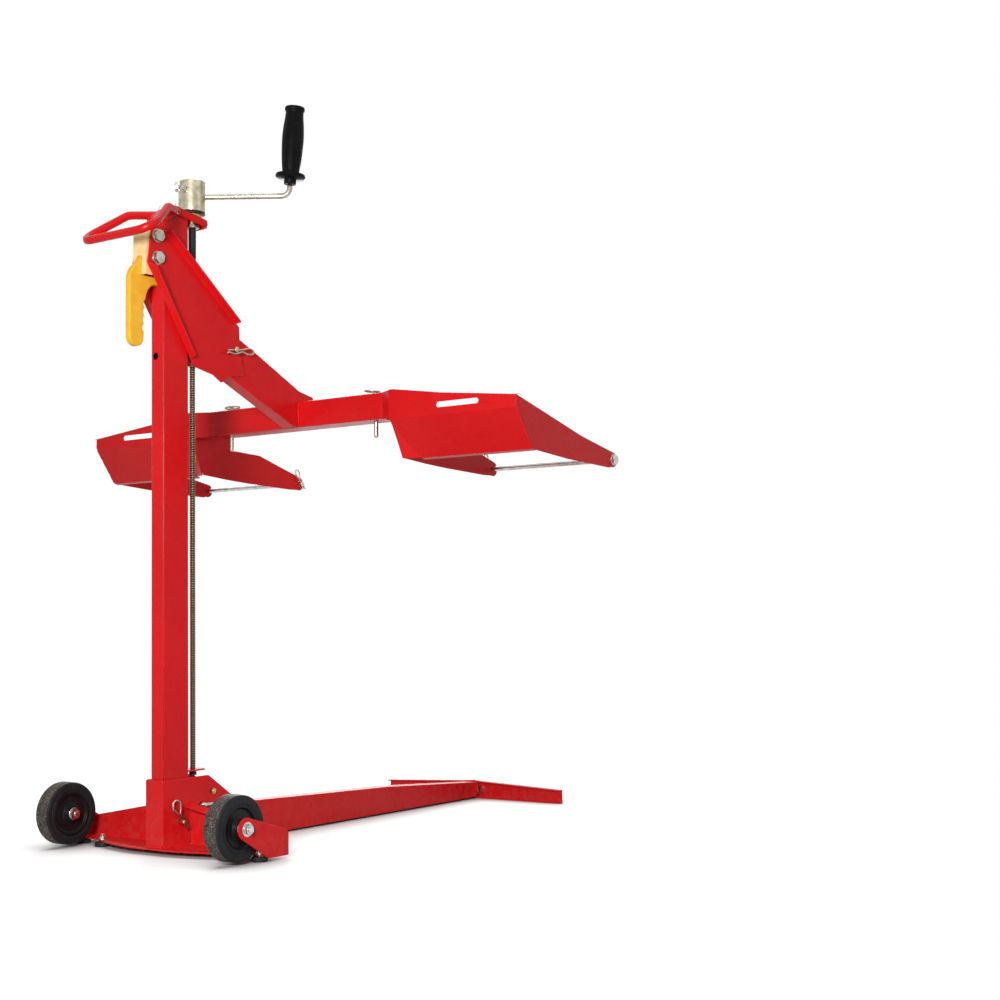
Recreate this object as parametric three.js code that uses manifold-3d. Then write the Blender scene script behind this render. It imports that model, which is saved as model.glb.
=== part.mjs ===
// Hand-cranked screw lift for riding mowers: a mast on a wheeled base, a long floor leg, and a
// carriage with a boom, a crossbar and two wheel trays that a lead screw raises and lowers.
// Lengths are in millimetres. X is across the lift, Y runs from the operator towards the mower
// and Z is up. Places are measured from the mast's centre line, and heights from just above the
// floor, which is at FLOOR_Z. The finished lift stands on Z = 0.
import * as THREE from "three";
import { mergeVertices } from "three/addons/utils/BufferGeometryUtils.js";
import Module from "manifold-3d";

const wasm = await Module();
wasm.setup();

// Driving dimensions
const GAP = 0.3;
const SHEET = 4;
const THIN_SHEET = 3;
const TUBE_CORNER = 4.5;
const LATCH_SHEET = 2.5;
const FLOOR_Z = -4.7;

const MAST = { halfX: 19.05, halfY: 35.7, bottom: 11.4, wall: 3, lockHoleZ: 1018, lockHoleX: -5 };
const SCREW = { y: 64.3, radius: 6.35, bottom: 152, top: 1403 };
const SOCKET = { halfX: 25.5, backY: -43.5, top: 144, noseY: 151, noseZ: 98.7 };
const HITCH = { y: 6, z: 55.6, radius: 5, headRadius: 8.5, end: SOCKET.halfX + 13, clipTurn: 127 };
const STOP_PIN = { y: 64, z: 84.6, radius: 4.4, handleY: 98 };
const PLAY = 0.4;
const BASE = { halfX: 280, wallY: 30.5, floorZ: 5.5, wallTopInner: 93, wallTopOuter: 48 };
const AXLE = { y: -64.5, z: 65.5, radius: 6 };
const WHEEL = { radius: 65, width: 40, x: 245 };
const PADS = [{ x: 181, y: -21 }, { x: 258, y: -7 }];
const PAD = { radius: 16.5, nutRadius: 7.5, studRadius: 4 };
const LEG = { halfX: 19.5, pivotY: 96, pivotZ: 110, pivotRadius: 5, endY: 1053 };
const FOOT_BAR = { y: 1069, halfX: 275, centreHeight: 40, tipHeight: 29, flange: 15, sweep: 6 };
const HANDLE = {
  frontY: 96, ridgeY: -5, ridgeZ: 1338, frontDrop: 8.6, backDrop: 35, depth: 17, halfWidth: 28, barRadius: 9,
};
const HUB = { radius: 29, bottom: 1339.5, top: 1406.5, boltZ: 1397, flatZ: 1384, flatX: -24.5 };
const CRANK = {
  turn: 35, z: 1374, rodRadius: 5, gripReach: 210, gripLean: 4.1, gripBottom: 1399, gripTop: 1568,
};
const CARRIAGE = { outerX: 24, boltY: -58, boltZ: [1264, 1217.7], pinY: 161, pinZ: 1052 };
const BOOM = { halfX: 19 };
const CROSSBAR = { halfX: 266, nearY: 375, farY: 441, bottom: 902, top: 961, wall: 3, pinX: 222 };
const LATCH = {
  pivotY: CARRIAGE.boltY, pivotZ: CARRIAGE.boltZ[0], halfX: 19, backY: -84.5, bottom: 1181, top: 1278,
  gripHalf: 7,
};
const TRAY = {
  nearY: 354, foldZ: 896, innerX: 305, bevelX: 302, outerX: 637, lipY: 411.5, lipZ: 812.7, lipInnerX: 345,
  outerTopZ: 921.5, innerTopZ: 961, rodY: 735, rodZ: 812, rodRadius: 6, slotX: [430, 541], slotZ: 917,
};
const PLATE = 5.5;
const frontSlope = Math.tan(THREE.MathUtils.degToRad(HANDLE.frontDrop));
const backSlope = Math.tan(THREE.MathUtils.degToRad(HANDLE.backDrop));
const BACK_Y = -163;
const FRONT_Y = FOOT_BAR.y + 6;
const ORIGIN_Y = (BACK_Y + FRONT_Y) / 2;

// Colours and finishes
const FINISH = {
  red: { color: 0xc5161c, roughness: 0.35, metalness: 0.1 },
  zinc: { color: 0xc9c4b4, roughness: 0.35, metalness: 0.9 },
  screw: { color: 0x6b5a45, roughness: 0.55, metalness: 0.8 },
  bronze: { color: 0xb5793f, roughness: 0.45, metalness: 0.9 },
  rubber: { color: 0x1c1a18, roughness: 0.8, metalness: 0 },
  plastic: { color: 0x101012, roughness: 0.45, metalness: 0 },
  yellow: { color: 0xffc133, roughness: 0.5, metalness: 0 },
  cream: { color: 0xf2cf8c, roughness: 0.4, metalness: 0.5 },
};

// Shapes as closed geometries

const X_AXIS = new THREE.Vector3(1, 0, 0);
const Y_AXIS = new THREE.Vector3(0, 1, 0);
const Z_AXIS = new THREE.Vector3(0, 0, 1);

// An outline given in Y and Z for axis x, in X and Z for axis y, or in X and Y for axis z.
function extrude(axis, outline, from, to, bevel = 0, curveSegments = 6) {
  const shape = outline instanceof THREE.Shape ? outline : polygon(outline);
  const geometry = new THREE.ExtrudeGeometry(shape, {
    depth: to - from - 2 * bevel,
    bevelEnabled: bevel > 0,
    bevelThickness: bevel,
    bevelSize: bevel,
    bevelOffset: -bevel,
    bevelSegments: 2,
    curveSegments,
  });
  geometry.translate(0, 0, (axis === "y" ? -to : from) + bevel);
  const basis = new THREE.Matrix4();
  if (axis === "x") {
    basis.makeBasis(Y_AXIS, Z_AXIS, X_AXIS);
  }
  if (axis === "y") {
    basis.makeBasis(X_AXIS, Z_AXIS, Y_AXIS.clone().negate());
  }
  return geometry.applyMatrix4(basis);
}

// A rectangle with rounded corners.
function rounded(a0, a1, b0, b1, radius) {
  const shape = new THREE.Shape();
  shape.absarc(a1 - radius, b0 + radius, radius, -Math.PI / 2, 0);
  shape.absarc(a1 - radius, b1 - radius, radius, 0, Math.PI / 2);
  shape.absarc(a0 + radius, b1 - radius, radius, Math.PI / 2, Math.PI);
  shape.absarc(a0 + radius, b0 + radius, radius, Math.PI, 1.5 * Math.PI);
  return shape;
}

function polygon(corners) {
  return new THREE.Shape(corners.map(([a, b]) => new THREE.Vector2(a, b)));
}

function box(x0, x1, y0, y1, z0, z1) {
  const geometry = new THREE.BoxGeometry(x1 - x0, y1 - y0, z1 - z0);
  return geometry.translate((x0 + x1) / 2, (y0 + y1) / 2, (z0 + z1) / 2);
}

// Stands a shape made around the Y axis along the given axis.
function stand(axis, geometry) {
  if (axis === "x") {
    geometry.rotateZ(-Math.PI / 2);
  }
  if (axis === "z") {
    geometry.rotateX(Math.PI / 2);
  }
  return geometry;
}

// A round bar, or a hexagon with 6 sides, along an axis between two places on it.
function bar(axis, a, b, radius, from, to, sides = 24) {
  const geometry = stand(axis, new THREE.CylinderGeometry(radius, radius, to - from, sides));
  const middle = (from + to) / 2;
  const place = { x: [middle, a, b], y: [a, middle, b], z: [a, b, middle] }[axis];
  return geometry.translate(...place);
}

// A turned piece: the profile is a list of [radius, height] that starts and ends on the axis.
function turned(axis, profile, sides = 28) {
  const points = profile.map(([radius, height]) => new THREE.Vector2(radius, height));
  return stand(axis, new THREE.LatheGeometry(points, sides));
}

// A flat panel through corners in space, with its thickness on the side of its right-hand normal.
function panel(corners, thickness) {
  const points = corners.map((corner) => new THREE.Vector3(...corner));
  const along = points[1].clone().sub(points[0]).normalize();
  const normal = along.clone().cross(points[points.length - 1].clone().sub(points[0])).normalize();
  const across = normal.clone().cross(along);
  const flat = points.map((point) => {
    const offset = point.clone().sub(points[0]);
    return new THREE.Vector2(offset.dot(along), offset.dot(across));
  });
  const geometry = new THREE.ExtrudeGeometry(new THREE.Shape(flat), { depth: thickness, bevelEnabled: false });
  geometry.applyMatrix4(new THREE.Matrix4().makeBasis(along, across, normal));
  return geometry.translate(points[0].x, points[0].y, points[0].z);
}

// The points of a bent line whose corners are rounded with one radius.
function bend(corners, radius, steps = 5) {
  const points = corners.map((corner) => new THREE.Vector3(...corner));
  const route = [points[0]];
  for (let i = 1; i < points.length - 1; i += 1) {
    const before = points[i].clone().sub(points[i - 1]).normalize();
    const after = points[i + 1].clone().sub(points[i]).normalize();
    const half = before.angleTo(after) / 2;
    const start = points[i].clone().addScaledVector(before, -radius * Math.tan(half));
    const inward = after.clone().sub(before).normalize();
    const centre = points[i].clone().addScaledVector(inward, radius / Math.cos(half));
    const spoke = start.clone().sub(centre);
    for (let k = 0; k <= steps; k += 1) {
      const angle = (2 * half * k) / steps;
      const point = centre.clone().addScaledVector(spoke, Math.cos(angle));
      route.push(point.addScaledVector(before, radius * Math.sin(angle)));
    }
  }
  route.push(points[points.length - 1]);
  return route;
}

// A line through its points, taken one point per step.
class Route extends THREE.Curve {
  constructor(points) {
    super();
    this.points = points;
  }

  getPoint(t) {
    const place = t * (this.points.length - 1);
    const index = Math.min(Math.floor(place), this.points.length - 2);
    return this.points[index].clone().lerp(this.points[index + 1], place - index);
  }

  getPointAt(u) {
    return this.getPoint(u);
  }

  getTangentAt(u) {
    const reach = 0.5 / (this.points.length - 1);
    const ahead = this.getPoint(Math.min(u + reach, 1));
    return ahead.sub(this.getPoint(Math.max(u - reach, 0))).normalize();
  }
}

function wire(points, radius, sides = 10) {
  const section = new THREE.Shape();
  section.absarc(0, 0, radius, 0, 2 * Math.PI);
  return new THREE.ExtrudeGeometry(section, {
    steps: points.length - 1,
    curveSegments: sides / 2,
    extrudePath: new Route(points),
  });
}

// Joins and cuts

function solid(geometry) {
  const bare = geometry.clone();
  bare.deleteAttribute("normal");
  bare.deleteAttribute("uv");
  const merged = mergeVertices(bare, 1e-4);
  const position = merged.attributes.position;
  const corners = [];
  let volume = 0;
  for (let i = 0; i < merged.index.count; i += 3) {
    const [a, b, c] = [0, 1, 2].map((k) => merged.index.getX(i + k));
    if (a === b || b === c || c === a) {
      continue;
    }
    corners.push(a, b, c);
    const [p, q, r] = [a, b, c].map((k) => new THREE.Vector3().fromBufferAttribute(position, k));
    volume += p.dot(q.cross(r));
  }
  if (volume < 0) {
    corners.reverse();
  }
  const mesh = new wasm.Mesh({
    numProp: 3,
    vertProperties: new Float32Array(position.array),
    triVerts: new Uint32Array(corners),
  });
  return new wasm.Manifold(mesh);
}

function join(...geometries) {
  return geometries.map(solid).reduce((whole, next) => whole.add(next));
}

function cut(whole, ...geometries) {
  return geometries.map(solid).reduce((rest, next) => rest.subtract(next), whole);
}

function toGeometry(shape) {
  const mesh = shape.getMesh();
  const geometry = new THREE.BufferGeometry();
  geometry.setAttribute("position", new THREE.BufferAttribute(mesh.vertProperties, 3));
  geometry.setIndex(new THREE.BufferAttribute(mesh.triVerts, 1));
  return geometry;
}

// The same piece on the other side of the lift.
function mirror(geometry) {
  const other = geometry.clone().scale(-1, 1, 1);
  other.index.array.reverse();
  return other;
}

// The lift as a scene graph

const lift = new THREE.Group();
const frame = new THREE.Group();
frame.position.set(0, -ORIGIN_Y, -FLOOR_Z);
lift.add(frame);

function add(name, shape, finish) {
  const geometry = shape.isBufferGeometry ? shape : toGeometry(shape);
  geometry.computeVertexNormals();
  const mesh = new THREE.Mesh(geometry, new THREE.MeshStandardMaterial(FINISH[finish]));
  mesh.name = name;
  frame.add(mesh);
  return mesh;
}

// Adds a piece made on the +X side as right_NAME, and its mirror image as left_NAME.
function addPair(name, shape, finish) {
  const geometry = toGeometry(shape);
  add(`right_${name}`, geometry, finish);
  add(`left_${name}`, mirror(geometry), finish);
}

// Base: plate, wings with axle tabs, socket, mast

function basePlate() {
  const endX = BASE.halfX - SHEET - GAP;
  const half = [
    [55, -61], [105, -52], [150, -40], [195, -19], [240, -11], [endX, -7], [endX, BASE.wallY + SHEET],
  ];
  const outline = [...half, ...half.map(([x, y]) => [-x, y]).reverse()];
  const plate = join(extrude("z", outline, BASE.floorZ, BASE.floorZ + THIN_SHEET));
  const studHoles = PADS.flatMap(({ x, y }) => [
    bar("z", x, y, 4.5, 0, 20, 12),
    bar("z", -x, y, 4.5, 0, 20, 12),
  ]);
  return cut(plate, ...studHoles);
}

// The standing wall of a wing, with the tab at its end that holds a wheel's axle bolt.
function wing() {
  const bottom = BASE.floorZ + THIN_SHEET + GAP;
  const innerX = SOCKET.halfX + GAP;
  const slitX = innerX + 4;
  const slitZ = 77;
  const tabX = BASE.halfX - SHEET;
  const wall = extrude("y", [
    [slitX, bottom], [tabX + 1, bottom], [tabX + 1, BASE.wallTopOuter],
    [innerX, BASE.wallTopInner], [innerX, slitZ], [slitX, slitZ],
  ], BASE.wallY, BASE.wallY + SHEET);
  const tab = new THREE.Shape();
  const noseRadius = 22;
  tab.moveTo(-3, 2);
  tab.lineTo(53, 2);
  tab.lineTo(53, 48);
  tab.lineTo(41, 55);
  tab.absarc(AXLE.y, AXLE.z, noseRadius, THREE.MathUtils.degToRad(72.3), THREE.MathUtils.degToRad(235.5));
  const whole = join(wall, extrude("x", tab, tabX, BASE.halfX));
  return cut(whole, bar("x", AXLE.y, AXLE.z, AXLE.radius + GAP, tabX - 1, BASE.halfX + 1));
}

// The right wing's top edge has a lip folded down towards the operator.
function wingWithLip() {
  const slope = (BASE.wallTopInner - BASE.wallTopOuter) / (BASE.halfX - SOCKET.halfX);
  const farX = 262;
  const topAt = (x) => BASE.wallTopInner - slope * (x - SOCKET.halfX);
  const y = BASE.wallY;
  const nearX = SOCKET.halfX + GAP + 1;
  const lip = panel([
    [nearX, y + 1, topAt(nearX)], [nearX, y - 17, topAt(nearX) - 6],
    [farX, y - 17, topAt(farX) - 6], [farX, y + 1, topAt(farX)],
  ], -2.5);
  return wing().add(solid(lip));
}

function mastSocket() {
  const { halfX, backY, top, noseY, noseZ } = SOCKET;
  const bottom = BASE.floorZ + THIN_SHEET + GAP;
  const side = extrude("x", [
    [backY, bottom], [backY, top], [86, top], [noseY, noseZ], [168, 87], [168, 30], [146, bottom],
  ], -halfX, halfX);
  const inside = halfX - SHEET;
  return cut(
    join(side),
    box(-inside, inside, backY + SHEET, 200, 0, 200),
    bar("x", HITCH.y, HITCH.z, HITCH.radius + PLAY, -30, 30, 16),
    bar("x", STOP_PIN.y, STOP_PIN.z, STOP_PIN.radius + PLAY, -30, 30, 16),
    bar("x", LEG.pivotY, LEG.pivotZ, LEG.pivotRadius + PLAY, -30, 30, 16),
  );
}

// The height just under the top handle's plates, whose ridge is over the mast.
function underPlateAt(y) {
  const run = y - HANDLE.ridgeY;
  const drop = run > 0 ? run * frontSlope + PLATE / Math.cos(Math.atan(frontSlope))
    : -run * backSlope + PLATE / Math.cos(Math.atan(backSlope));
  return HANDLE.ridgeZ - drop - GAP;
}

function mast() {
  const { halfX, halfY, bottom, wall } = MAST;
  const high = HANDLE.ridgeZ + 20;
  const { ridgeY } = HANDLE;
  const tube = extrude("z", rounded(-halfX, halfX, -halfY, halfY, TUBE_CORNER), bottom, high - 10, 0, 3);
  const aboveTop = extrude("x", [
    [halfY + 9, underPlateAt(halfY + 9)], [halfY + 9, high], [-halfY - 9, high],
    [-halfY - 9, underPlateAt(-halfY - 9)], [ridgeY - 2, underPlateAt(ridgeY - 2)],
    [ridgeY + 2, underPlateAt(ridgeY + 2)],
  ], -halfX - 5, halfX + 5);
  return cut(
    join(tube),
    aboveTop,
    box(-halfX + wall, halfX - wall, -halfY + wall, halfY - wall, 0, 1400),
    bar("y", MAST.lockHoleX, MAST.lockHoleZ, 7.5, -halfY - 5, 0),
    bar("x", HITCH.y, HITCH.z, HITCH.radius + PLAY, -30, 30, 16),
  );
}

function screwFootBracket() {
  const tab = new THREE.Shape();
  tab.moveTo(-15, MAST.halfY + GAP);
  tab.lineTo(15, MAST.halfY + GAP);
  tab.lineTo(15, SCREW.y + 14);
  tab.absarc(0, SCREW.y + 14, 15, 0, Math.PI);
  return cut(join(extrude("z", tab, 154, 158)), bar("z", 0, SCREW.y, 7, 150, 160));
}

// Top handle: a pressed saddle over the mast, its tongue over the screw, and a loop towards the operator

function tilted(geometry, degrees) {
  geometry.rotateX(THREE.MathUtils.degToRad(degrees));
  return geometry.translate(0, HANDLE.ridgeY, HANDLE.ridgeZ);
}

function tongueOutline(inset) {
  const half = HANDLE.halfWidth - inset;
  const corner = 20 - inset;
  const length = (HANDLE.frontY - HANDLE.ridgeY) / Math.cos(Math.atan(frontSlope)) - inset;
  const outline = new THREE.Shape();
  outline.moveTo(-half, -3);
  outline.lineTo(half, -3);
  outline.absarc(half - corner, length - corner, corner, 0, Math.PI / 2);
  outline.absarc(corner - half, length - corner, corner, Math.PI / 2, Math.PI);
  return outline;
}

function topHandle() {
  const { depth, halfWidth, barRadius, frontDrop, backDrop } = HANDLE;
  const rim = 5.8;
  const tongue = tilted(extrude("z", tongueOutline(0), -depth, 0, 5), -frontDrop);
  const saddle = tilted(extrude("z", [
    [-halfWidth, 3], [-halfWidth, -46], [halfWidth, -46], [halfWidth, 3],
  ], -depth, 0, 5), backDrop);
  const loopY = BACK_Y + barRadius;
  const near = [[24, -2, 1325], [60, -61, 1319], [113, loopY, 1251]];
  const loopRoute = bend([...near.map(([x, y, z]) => [-x, y, z]), ...near.slice().reverse()], 28, 4);
  const fullHandle = join(tongue, saddle, wire(loopRoute, barRadius, 10));
  const frontPocket = tilted(extrude("z", tongueOutline(rim), -depth - 12, -PLATE), -frontDrop);
  const backPocket = tilted(extrude("z", [
    [-halfWidth + rim, 4], [-halfWidth + rim, -70], [halfWidth - rim, -70], [halfWidth - rim, 4],
  ], -depth - 16, -PLATE), backDrop);
  return cut(fullHandle, frontPocket, backPocket, bar("z", 0, SCREW.y, 12.4, 1290, 1350, 28));
}

// Ring-shaped turned piece around the vertical screw.
function ring(inner, outer, z0, z1, sides = 28) {
  return cut(join(bar("z", 0, SCREW.y, outer, z0, z1, sides)), bar("z", 0, SCREW.y, inner, z0 - 1, z1 + 1, 28));
}

// A hairpin clip around a cross pin at the origin: a straight leg through the pin, a round eye
// and a waved leg over the pin's outside. It is drawn in Y and Z, with the eye towards +Y.
function hairpin(x, y, z, degrees, length = 1, eye = 6.5) {
  const flat = [
    [-16, 0], [-5, 0], [14, 0], [22, 0.3 * eye], [30, 0.45 * eye], [37, -0.2 * eye], [38.5, -0.75 * eye],
    [36, -1.35 * eye], [29, -1.65 * eye], [21, -1.2 * eye], [14, -4.5], [7, -6.5], [0, -8.6], [-8, -6.5],
    [-14, -4.6], [-19, -7],
  ];
  const route = new THREE.CatmullRomCurve3(flat.map(([a, b]) => new THREE.Vector3(0, a * length, b)));
  const clip = wire(route.getPoints(28), 1.5, 6);
  clip.rotateX(THREE.MathUtils.degToRad(degrees));
  return clip.translate(x, y, z);
}

add("base_plate", basePlate(), "red");
add("right_wing", wingWithLip(), "red");
add("left_wing", mirror(toGeometry(wing())), "red");
add("mast_socket", mastSocket(), "red");
add("mast", mast(), "red");
add("screw_foot_bracket", screwFootBracket(), "red");
add("top_handle", topHandle(), "red");
// Flanged bushing through the tongue, its flange cut to sit on the tongue's slope
const thrustBottom = HUB.bottom - 4;
function topBushing() {
  const flange = cut(
    join(bar("z", 0, SCREW.y, 21, 1300, thrustBottom - GAP, 28)),
    tilted(extrude("z", [[-60, -20], [60, -20], [60, 140], [-60, 140]], -60, GAP), -HANDLE.frontDrop),
  );
  const sleeve = join(bar("z", 0, SCREW.y, 12, 1313, thrustBottom - GAP, 28));
  return flange.add(sleeve).subtract(solid(bar("z", 0, SCREW.y, SCREW.radius + 0.35, 1290, 1360, 28)));
}
add("top_bushing", topBushing(), "bronze");

// The hole through a cross pin for its clip's straight leg, a little in from the pin's end
const CLIP_INSET = 6;
function crossHole(x, y, z, degrees) {
  const hole = bar("y", 0, 0, 2, -12, 12, 10);
  hole.rotateX(THREE.MathUtils.degToRad(degrees));
  return hole.translate(x, y, z);
}

// Hitch pin that holds the mast in its socket
add("hitch_pin", cut(
  join(
    bar("x", HITCH.y, HITCH.z, HITCH.radius, -SOCKET.halfX - 1, HITCH.end, 16),
    bar("x", HITCH.y, HITCH.z, HITCH.headRadius, -SOCKET.halfX - 7, -SOCKET.halfX - GAP, 20),
  ),
  crossHole(HITCH.end - CLIP_INSET, HITCH.y, HITCH.z, HITCH.clipTurn),
), "zinc");
add("hitch_pin_clip", hairpin(HITCH.end - CLIP_INSET, HITCH.y, HITCH.z, HITCH.clipTurn, 1.3, 10), "zinc");

// Stop pin behind the leg's heel, with its handle laid along the socket
add("leg_stop_pin", wire(bend([
  [-SOCKET.halfX - 8, STOP_PIN.y, STOP_PIN.z], [SOCKET.halfX + 6, STOP_PIN.y, STOP_PIN.z],
  [SOCKET.halfX + 6, STOP_PIN.handleY, STOP_PIN.z],
], 5.5, 4), STOP_PIN.radius, 12), "zinc");

// Pivot bolt of the leg, with its nut
add("leg_pivot_bolt", join(
  bar("x", LEG.pivotY, LEG.pivotZ, LEG.pivotRadius, -SOCKET.halfX - 10, SOCKET.halfX + 1, 16),
  bar("x", LEG.pivotY, LEG.pivotZ, 7.5, SOCKET.halfX + GAP, SOCKET.halfX + 6, 6),
  bar("x", LEG.pivotY, LEG.pivotZ, 8.5, -SOCKET.halfX - 8, -SOCKET.halfX - GAP, 6),
), "zinc");

// Levelling feet: a rubber pad moulded on a stud, with a nut on top of the plate
const plateTop = BASE.floorZ + THIN_SHEET;
PADS.forEach(({ x, y }, index) => {
  const place = ["inner", "outer"][index];
  const padTop = BASE.floorZ - GAP;
  const pad = turned("z", [
    [0, FLOOR_Z], [PAD.radius - 1.5, FLOOR_Z], [PAD.radius, FLOOR_Z + 1.5], [PAD.radius, padTop], [0, padTop],
  ], 24).translate(x, y, 0);
  addPair(`${place}_foot`, join(
    pad,
    bar("z", x, y, PAD.studRadius, padTop - 1, plateTop + 13, 12),
    bar("z", x, y, PAD.nutRadius, plateTop + GAP, plateTop + 7, 6),
  ), "rubber");
});

// Wheels: a rubber tyre on a moulded core, turning on a bolt through the wing's tab
function tyre() {
  const half = WHEEL.width / 2;
  const { radius, x } = WHEEL;
  const profile = new THREE.Shape();
  profile.moveTo(47, -half + 1);
  profile.lineTo(58, -half);
  profile.quadraticCurveTo(radius, -half, radius, -half + 5.5);
  profile.lineTo(radius, half - 5.5);
  profile.quadraticCurveTo(radius, half, 58, half);
  profile.lineTo(47, half - 1);
  const points = profile.extractPoints(2).shape;
  points.push(points[0].clone());
  const ringShape = stand("x", new THREE.LatheGeometry(points, 32));
  return ringShape.translate(x, AXLE.y, AXLE.z);
}

function wheelCore() {
  const half = WHEEL.width / 2;
  const rim = 47 - GAP;
  const hub = half + 1;
  const side = [[17, hub], [19, half - 5], [38, half - 6], [41, half - 1], [rim, half - 1]];
  const core = turned("x", [
    [0, -hub], ...side.map(([radius, x]) => [radius, -x]), ...side.slice().reverse(), [0, hub],
  ], 24).translate(WHEEL.x, AXLE.y, AXLE.z);
  return cut(join(core), bar("x", AXLE.y, AXLE.z, AXLE.radius + PLAY, 200, 290, 16));
}

addPair("tyre", join(tyre()), "rubber");
addPair("wheel_core", wheelCore(), "plastic");
const axleInner = WHEEL.x - WHEEL.width / 2 - 14;
const hubEnd = WHEEL.x + WHEEL.width / 2 + 1;
addPair("axle_bolt", join(
  bar("x", AXLE.y, AXLE.z, AXLE.radius, axleInner, BASE.halfX + 1, 16),
  bar("x", AXLE.y, AXLE.z, 9, hubEnd + GAP, BASE.halfX - SHEET - GAP, 16),
  bar("x", AXLE.y, AXLE.z, 11.5, BASE.halfX + GAP, BASE.halfX + 2.5, 20),
  bar("x", AXLE.y, AXLE.z, 10, BASE.halfX + 2, BASE.halfX + 10, 6),
  bar("x", AXLE.y, AXLE.z, 10, axleInner + 2, axleInner + 9.5, 6),
  bar("x", AXLE.y, AXLE.z, 11.5, axleInner + 9, axleInner + 12, 20),
), "zinc");

// Floor leg: an open channel that tapers towards the foot bar and swings up on the pivot bolt
function legOutline(drop, rearCut) {
  const { pivotY, pivotZ, endY } = LEG;
  const tops = [[150, 96.5], [235.6, 75.7], [687.5, 60.4], [991, 40.8], [endY, 36.7]];
  const outline = new THREE.Shape();
  if (rearCut) {
    outline.moveTo(60, -5);
    outline.lineTo(60, 150);
    outline.lineTo(112, 150);
    outline.lineTo(112, 126 - drop);
    tops.forEach(([y, z]) => outline.lineTo(y, z - drop));
    outline.lineTo(endY + 5, 36.7 - drop);
    outline.lineTo(endY + 5, -5);
    return outline;
  }
  outline.moveTo(120, 0);
  outline.lineTo(endY, 0);
  tops.slice().reverse().forEach(([y, z]) => outline.lineTo(y, z));
  const ear = 22;
  outline.absarc(pivotY, pivotZ, ear, THREE.MathUtils.degToRad(50), THREE.MathUtils.degToRad(168));
  outline.lineTo(69.2, 90);
  outline.lineTo(69.2, 58);
  return outline;
}

function legChannel() {
  const half = LEG.halfX;
  const outer = join(extrude("x", legOutline(0, false), -half, half));
  const inner = extrude("x", legOutline(THIN_SHEET, true), -half + THIN_SHEET, half - THIN_SHEET);
  return cut(outer, inner, bar("x", LEG.pivotY, LEG.pivotZ, LEG.pivotRadius + PLAY, -30, 30, 16));
}

function footBarHalf(sign) {
  const { y, halfX, centreHeight, tipHeight, flange, sweep } = FOOT_BAR;
  const web = THIN_SHEET;
  const outer = extrude("y", [
    [-2, FLOOR_Z], [halfX, FLOOR_Z], [halfX, tipHeight], [-2, centreHeight + 0.1],
  ], -flange, 0);
  const inner = extrude("y", [
    [-9, FLOOR_Z + web], [halfX + 5, FLOOR_Z + web], [halfX + 5, tipHeight - web], [-9, centreHeight - web],
  ], -flange - 5, -web);
  const half = cut(join(outer), inner);
  const geometry = toGeometry(half).rotateZ(-Math.atan(sweep / halfX)).translate(0, y, 0);
  return sign > 0 ? geometry : mirror(geometry);
}

add("leg_channel", legChannel(), "red");
add("leg_foot_bar", cut(
  join(footBarHalf(1), footBarHalf(-1)),
  bar("y", 25, 16, 5.4, FOOT_BAR.y - 10, FOOT_BAR.y + 5, 16),
), "red");
const footWeb = FOOT_BAR.y - THIN_SHEET;
add("foot_bar_bolt", join(
  bar("y", 25, 16, 5, footWeb - 2, FOOT_BAR.y + 6, 16),
  bar("y", 25, 16, 8, footWeb - 7, footWeb - 1.4, 6),
), "zinc");

// Lead screw, its collars and the crank

add("lead_screw", join(bar("z", 0, SCREW.y, SCREW.radius, SCREW.bottom, SCREW.top, 28)), "screw");
add("screw_end_cap", join(bar("z", 0, SCREW.y, 8, SCREW.bottom - 7, SCREW.bottom - GAP, 20)), "plastic");
add("screw_sleeve", ring(SCREW.radius + 0.3, 8.2, 1230, 1305, 24), "rubber");
add("thrust_nut", ring(SCREW.radius + 0.3, 16, 1305 + GAP, 1313 - GAP, 6), "zinc");
add("thrust_washer", ring(SCREW.radius + 0.3, 28, thrustBottom, HUB.bottom - GAP, 32), "rubber");

const crankAngle = THREE.MathUtils.degToRad(CRANK.turn);
const armEnd = CRANK.gripReach;

// Turns a piece made along +X about the screw, to where the crank points.
function towardsCrank(geometry) {
  return geometry.rotateZ(crankAngle).translate(0, SCREW.y, 0);
}

const hubBody = turned("z", [
  [0, HUB.bottom], [HUB.radius - 1.5, HUB.bottom], [HUB.radius, HUB.bottom + 1.5],
  [HUB.radius, HUB.top - 1.5], [HUB.radius - 1.5, HUB.top], [0, HUB.top],
], 32);
const armStart = 12;
const hubCuts = [
  bar("z", 0, 0, SCREW.radius + 0.3, HUB.bottom - 1, SCREW.top + GAP, 28),
  bar("x", 0, CRANK.z, CRANK.rodRadius + 0.2, armStart - GAP, 40, 20),
  bar("x", 0, HUB.boltZ, 4.3, -40, -9, 16),
  bar("x", -13, HUB.boltZ - 33, 2.8, -40, -16, 12),
  box(-HUB.radius - 2, HUB.flatX, -30, 30, HUB.flatZ, HUB.top + 2),
];
add("crank_hub", towardsCrank(toGeometry(cut(join(hubBody), ...hubCuts))), "zinc");
add("hub_bolt", towardsCrank(toGeometry(join(
  bar("x", 0, HUB.boltZ, 4, HUB.flatX - 1, -9.5, 16),
  bar("x", 0, HUB.boltZ, 10.4, HUB.flatX - 12, HUB.flatX - GAP, 6),
))), "zinc");

const lean = THREE.MathUtils.degToRad(CRANK.gripLean);
const leanShift = Math.tan(lean);
const armRoute = bend([
  [armStart, 0, CRANK.z], [armEnd - 1.5, 0, CRANK.z],
  [armEnd + (CRANK.gripTop - 30 - CRANK.gripBottom) * leanShift, 0, CRANK.gripTop - 30],
], 18, 6);
add("crank_arm", towardsCrank(wire(armRoute, CRANK.rodRadius, 10)), "zinc");

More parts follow.
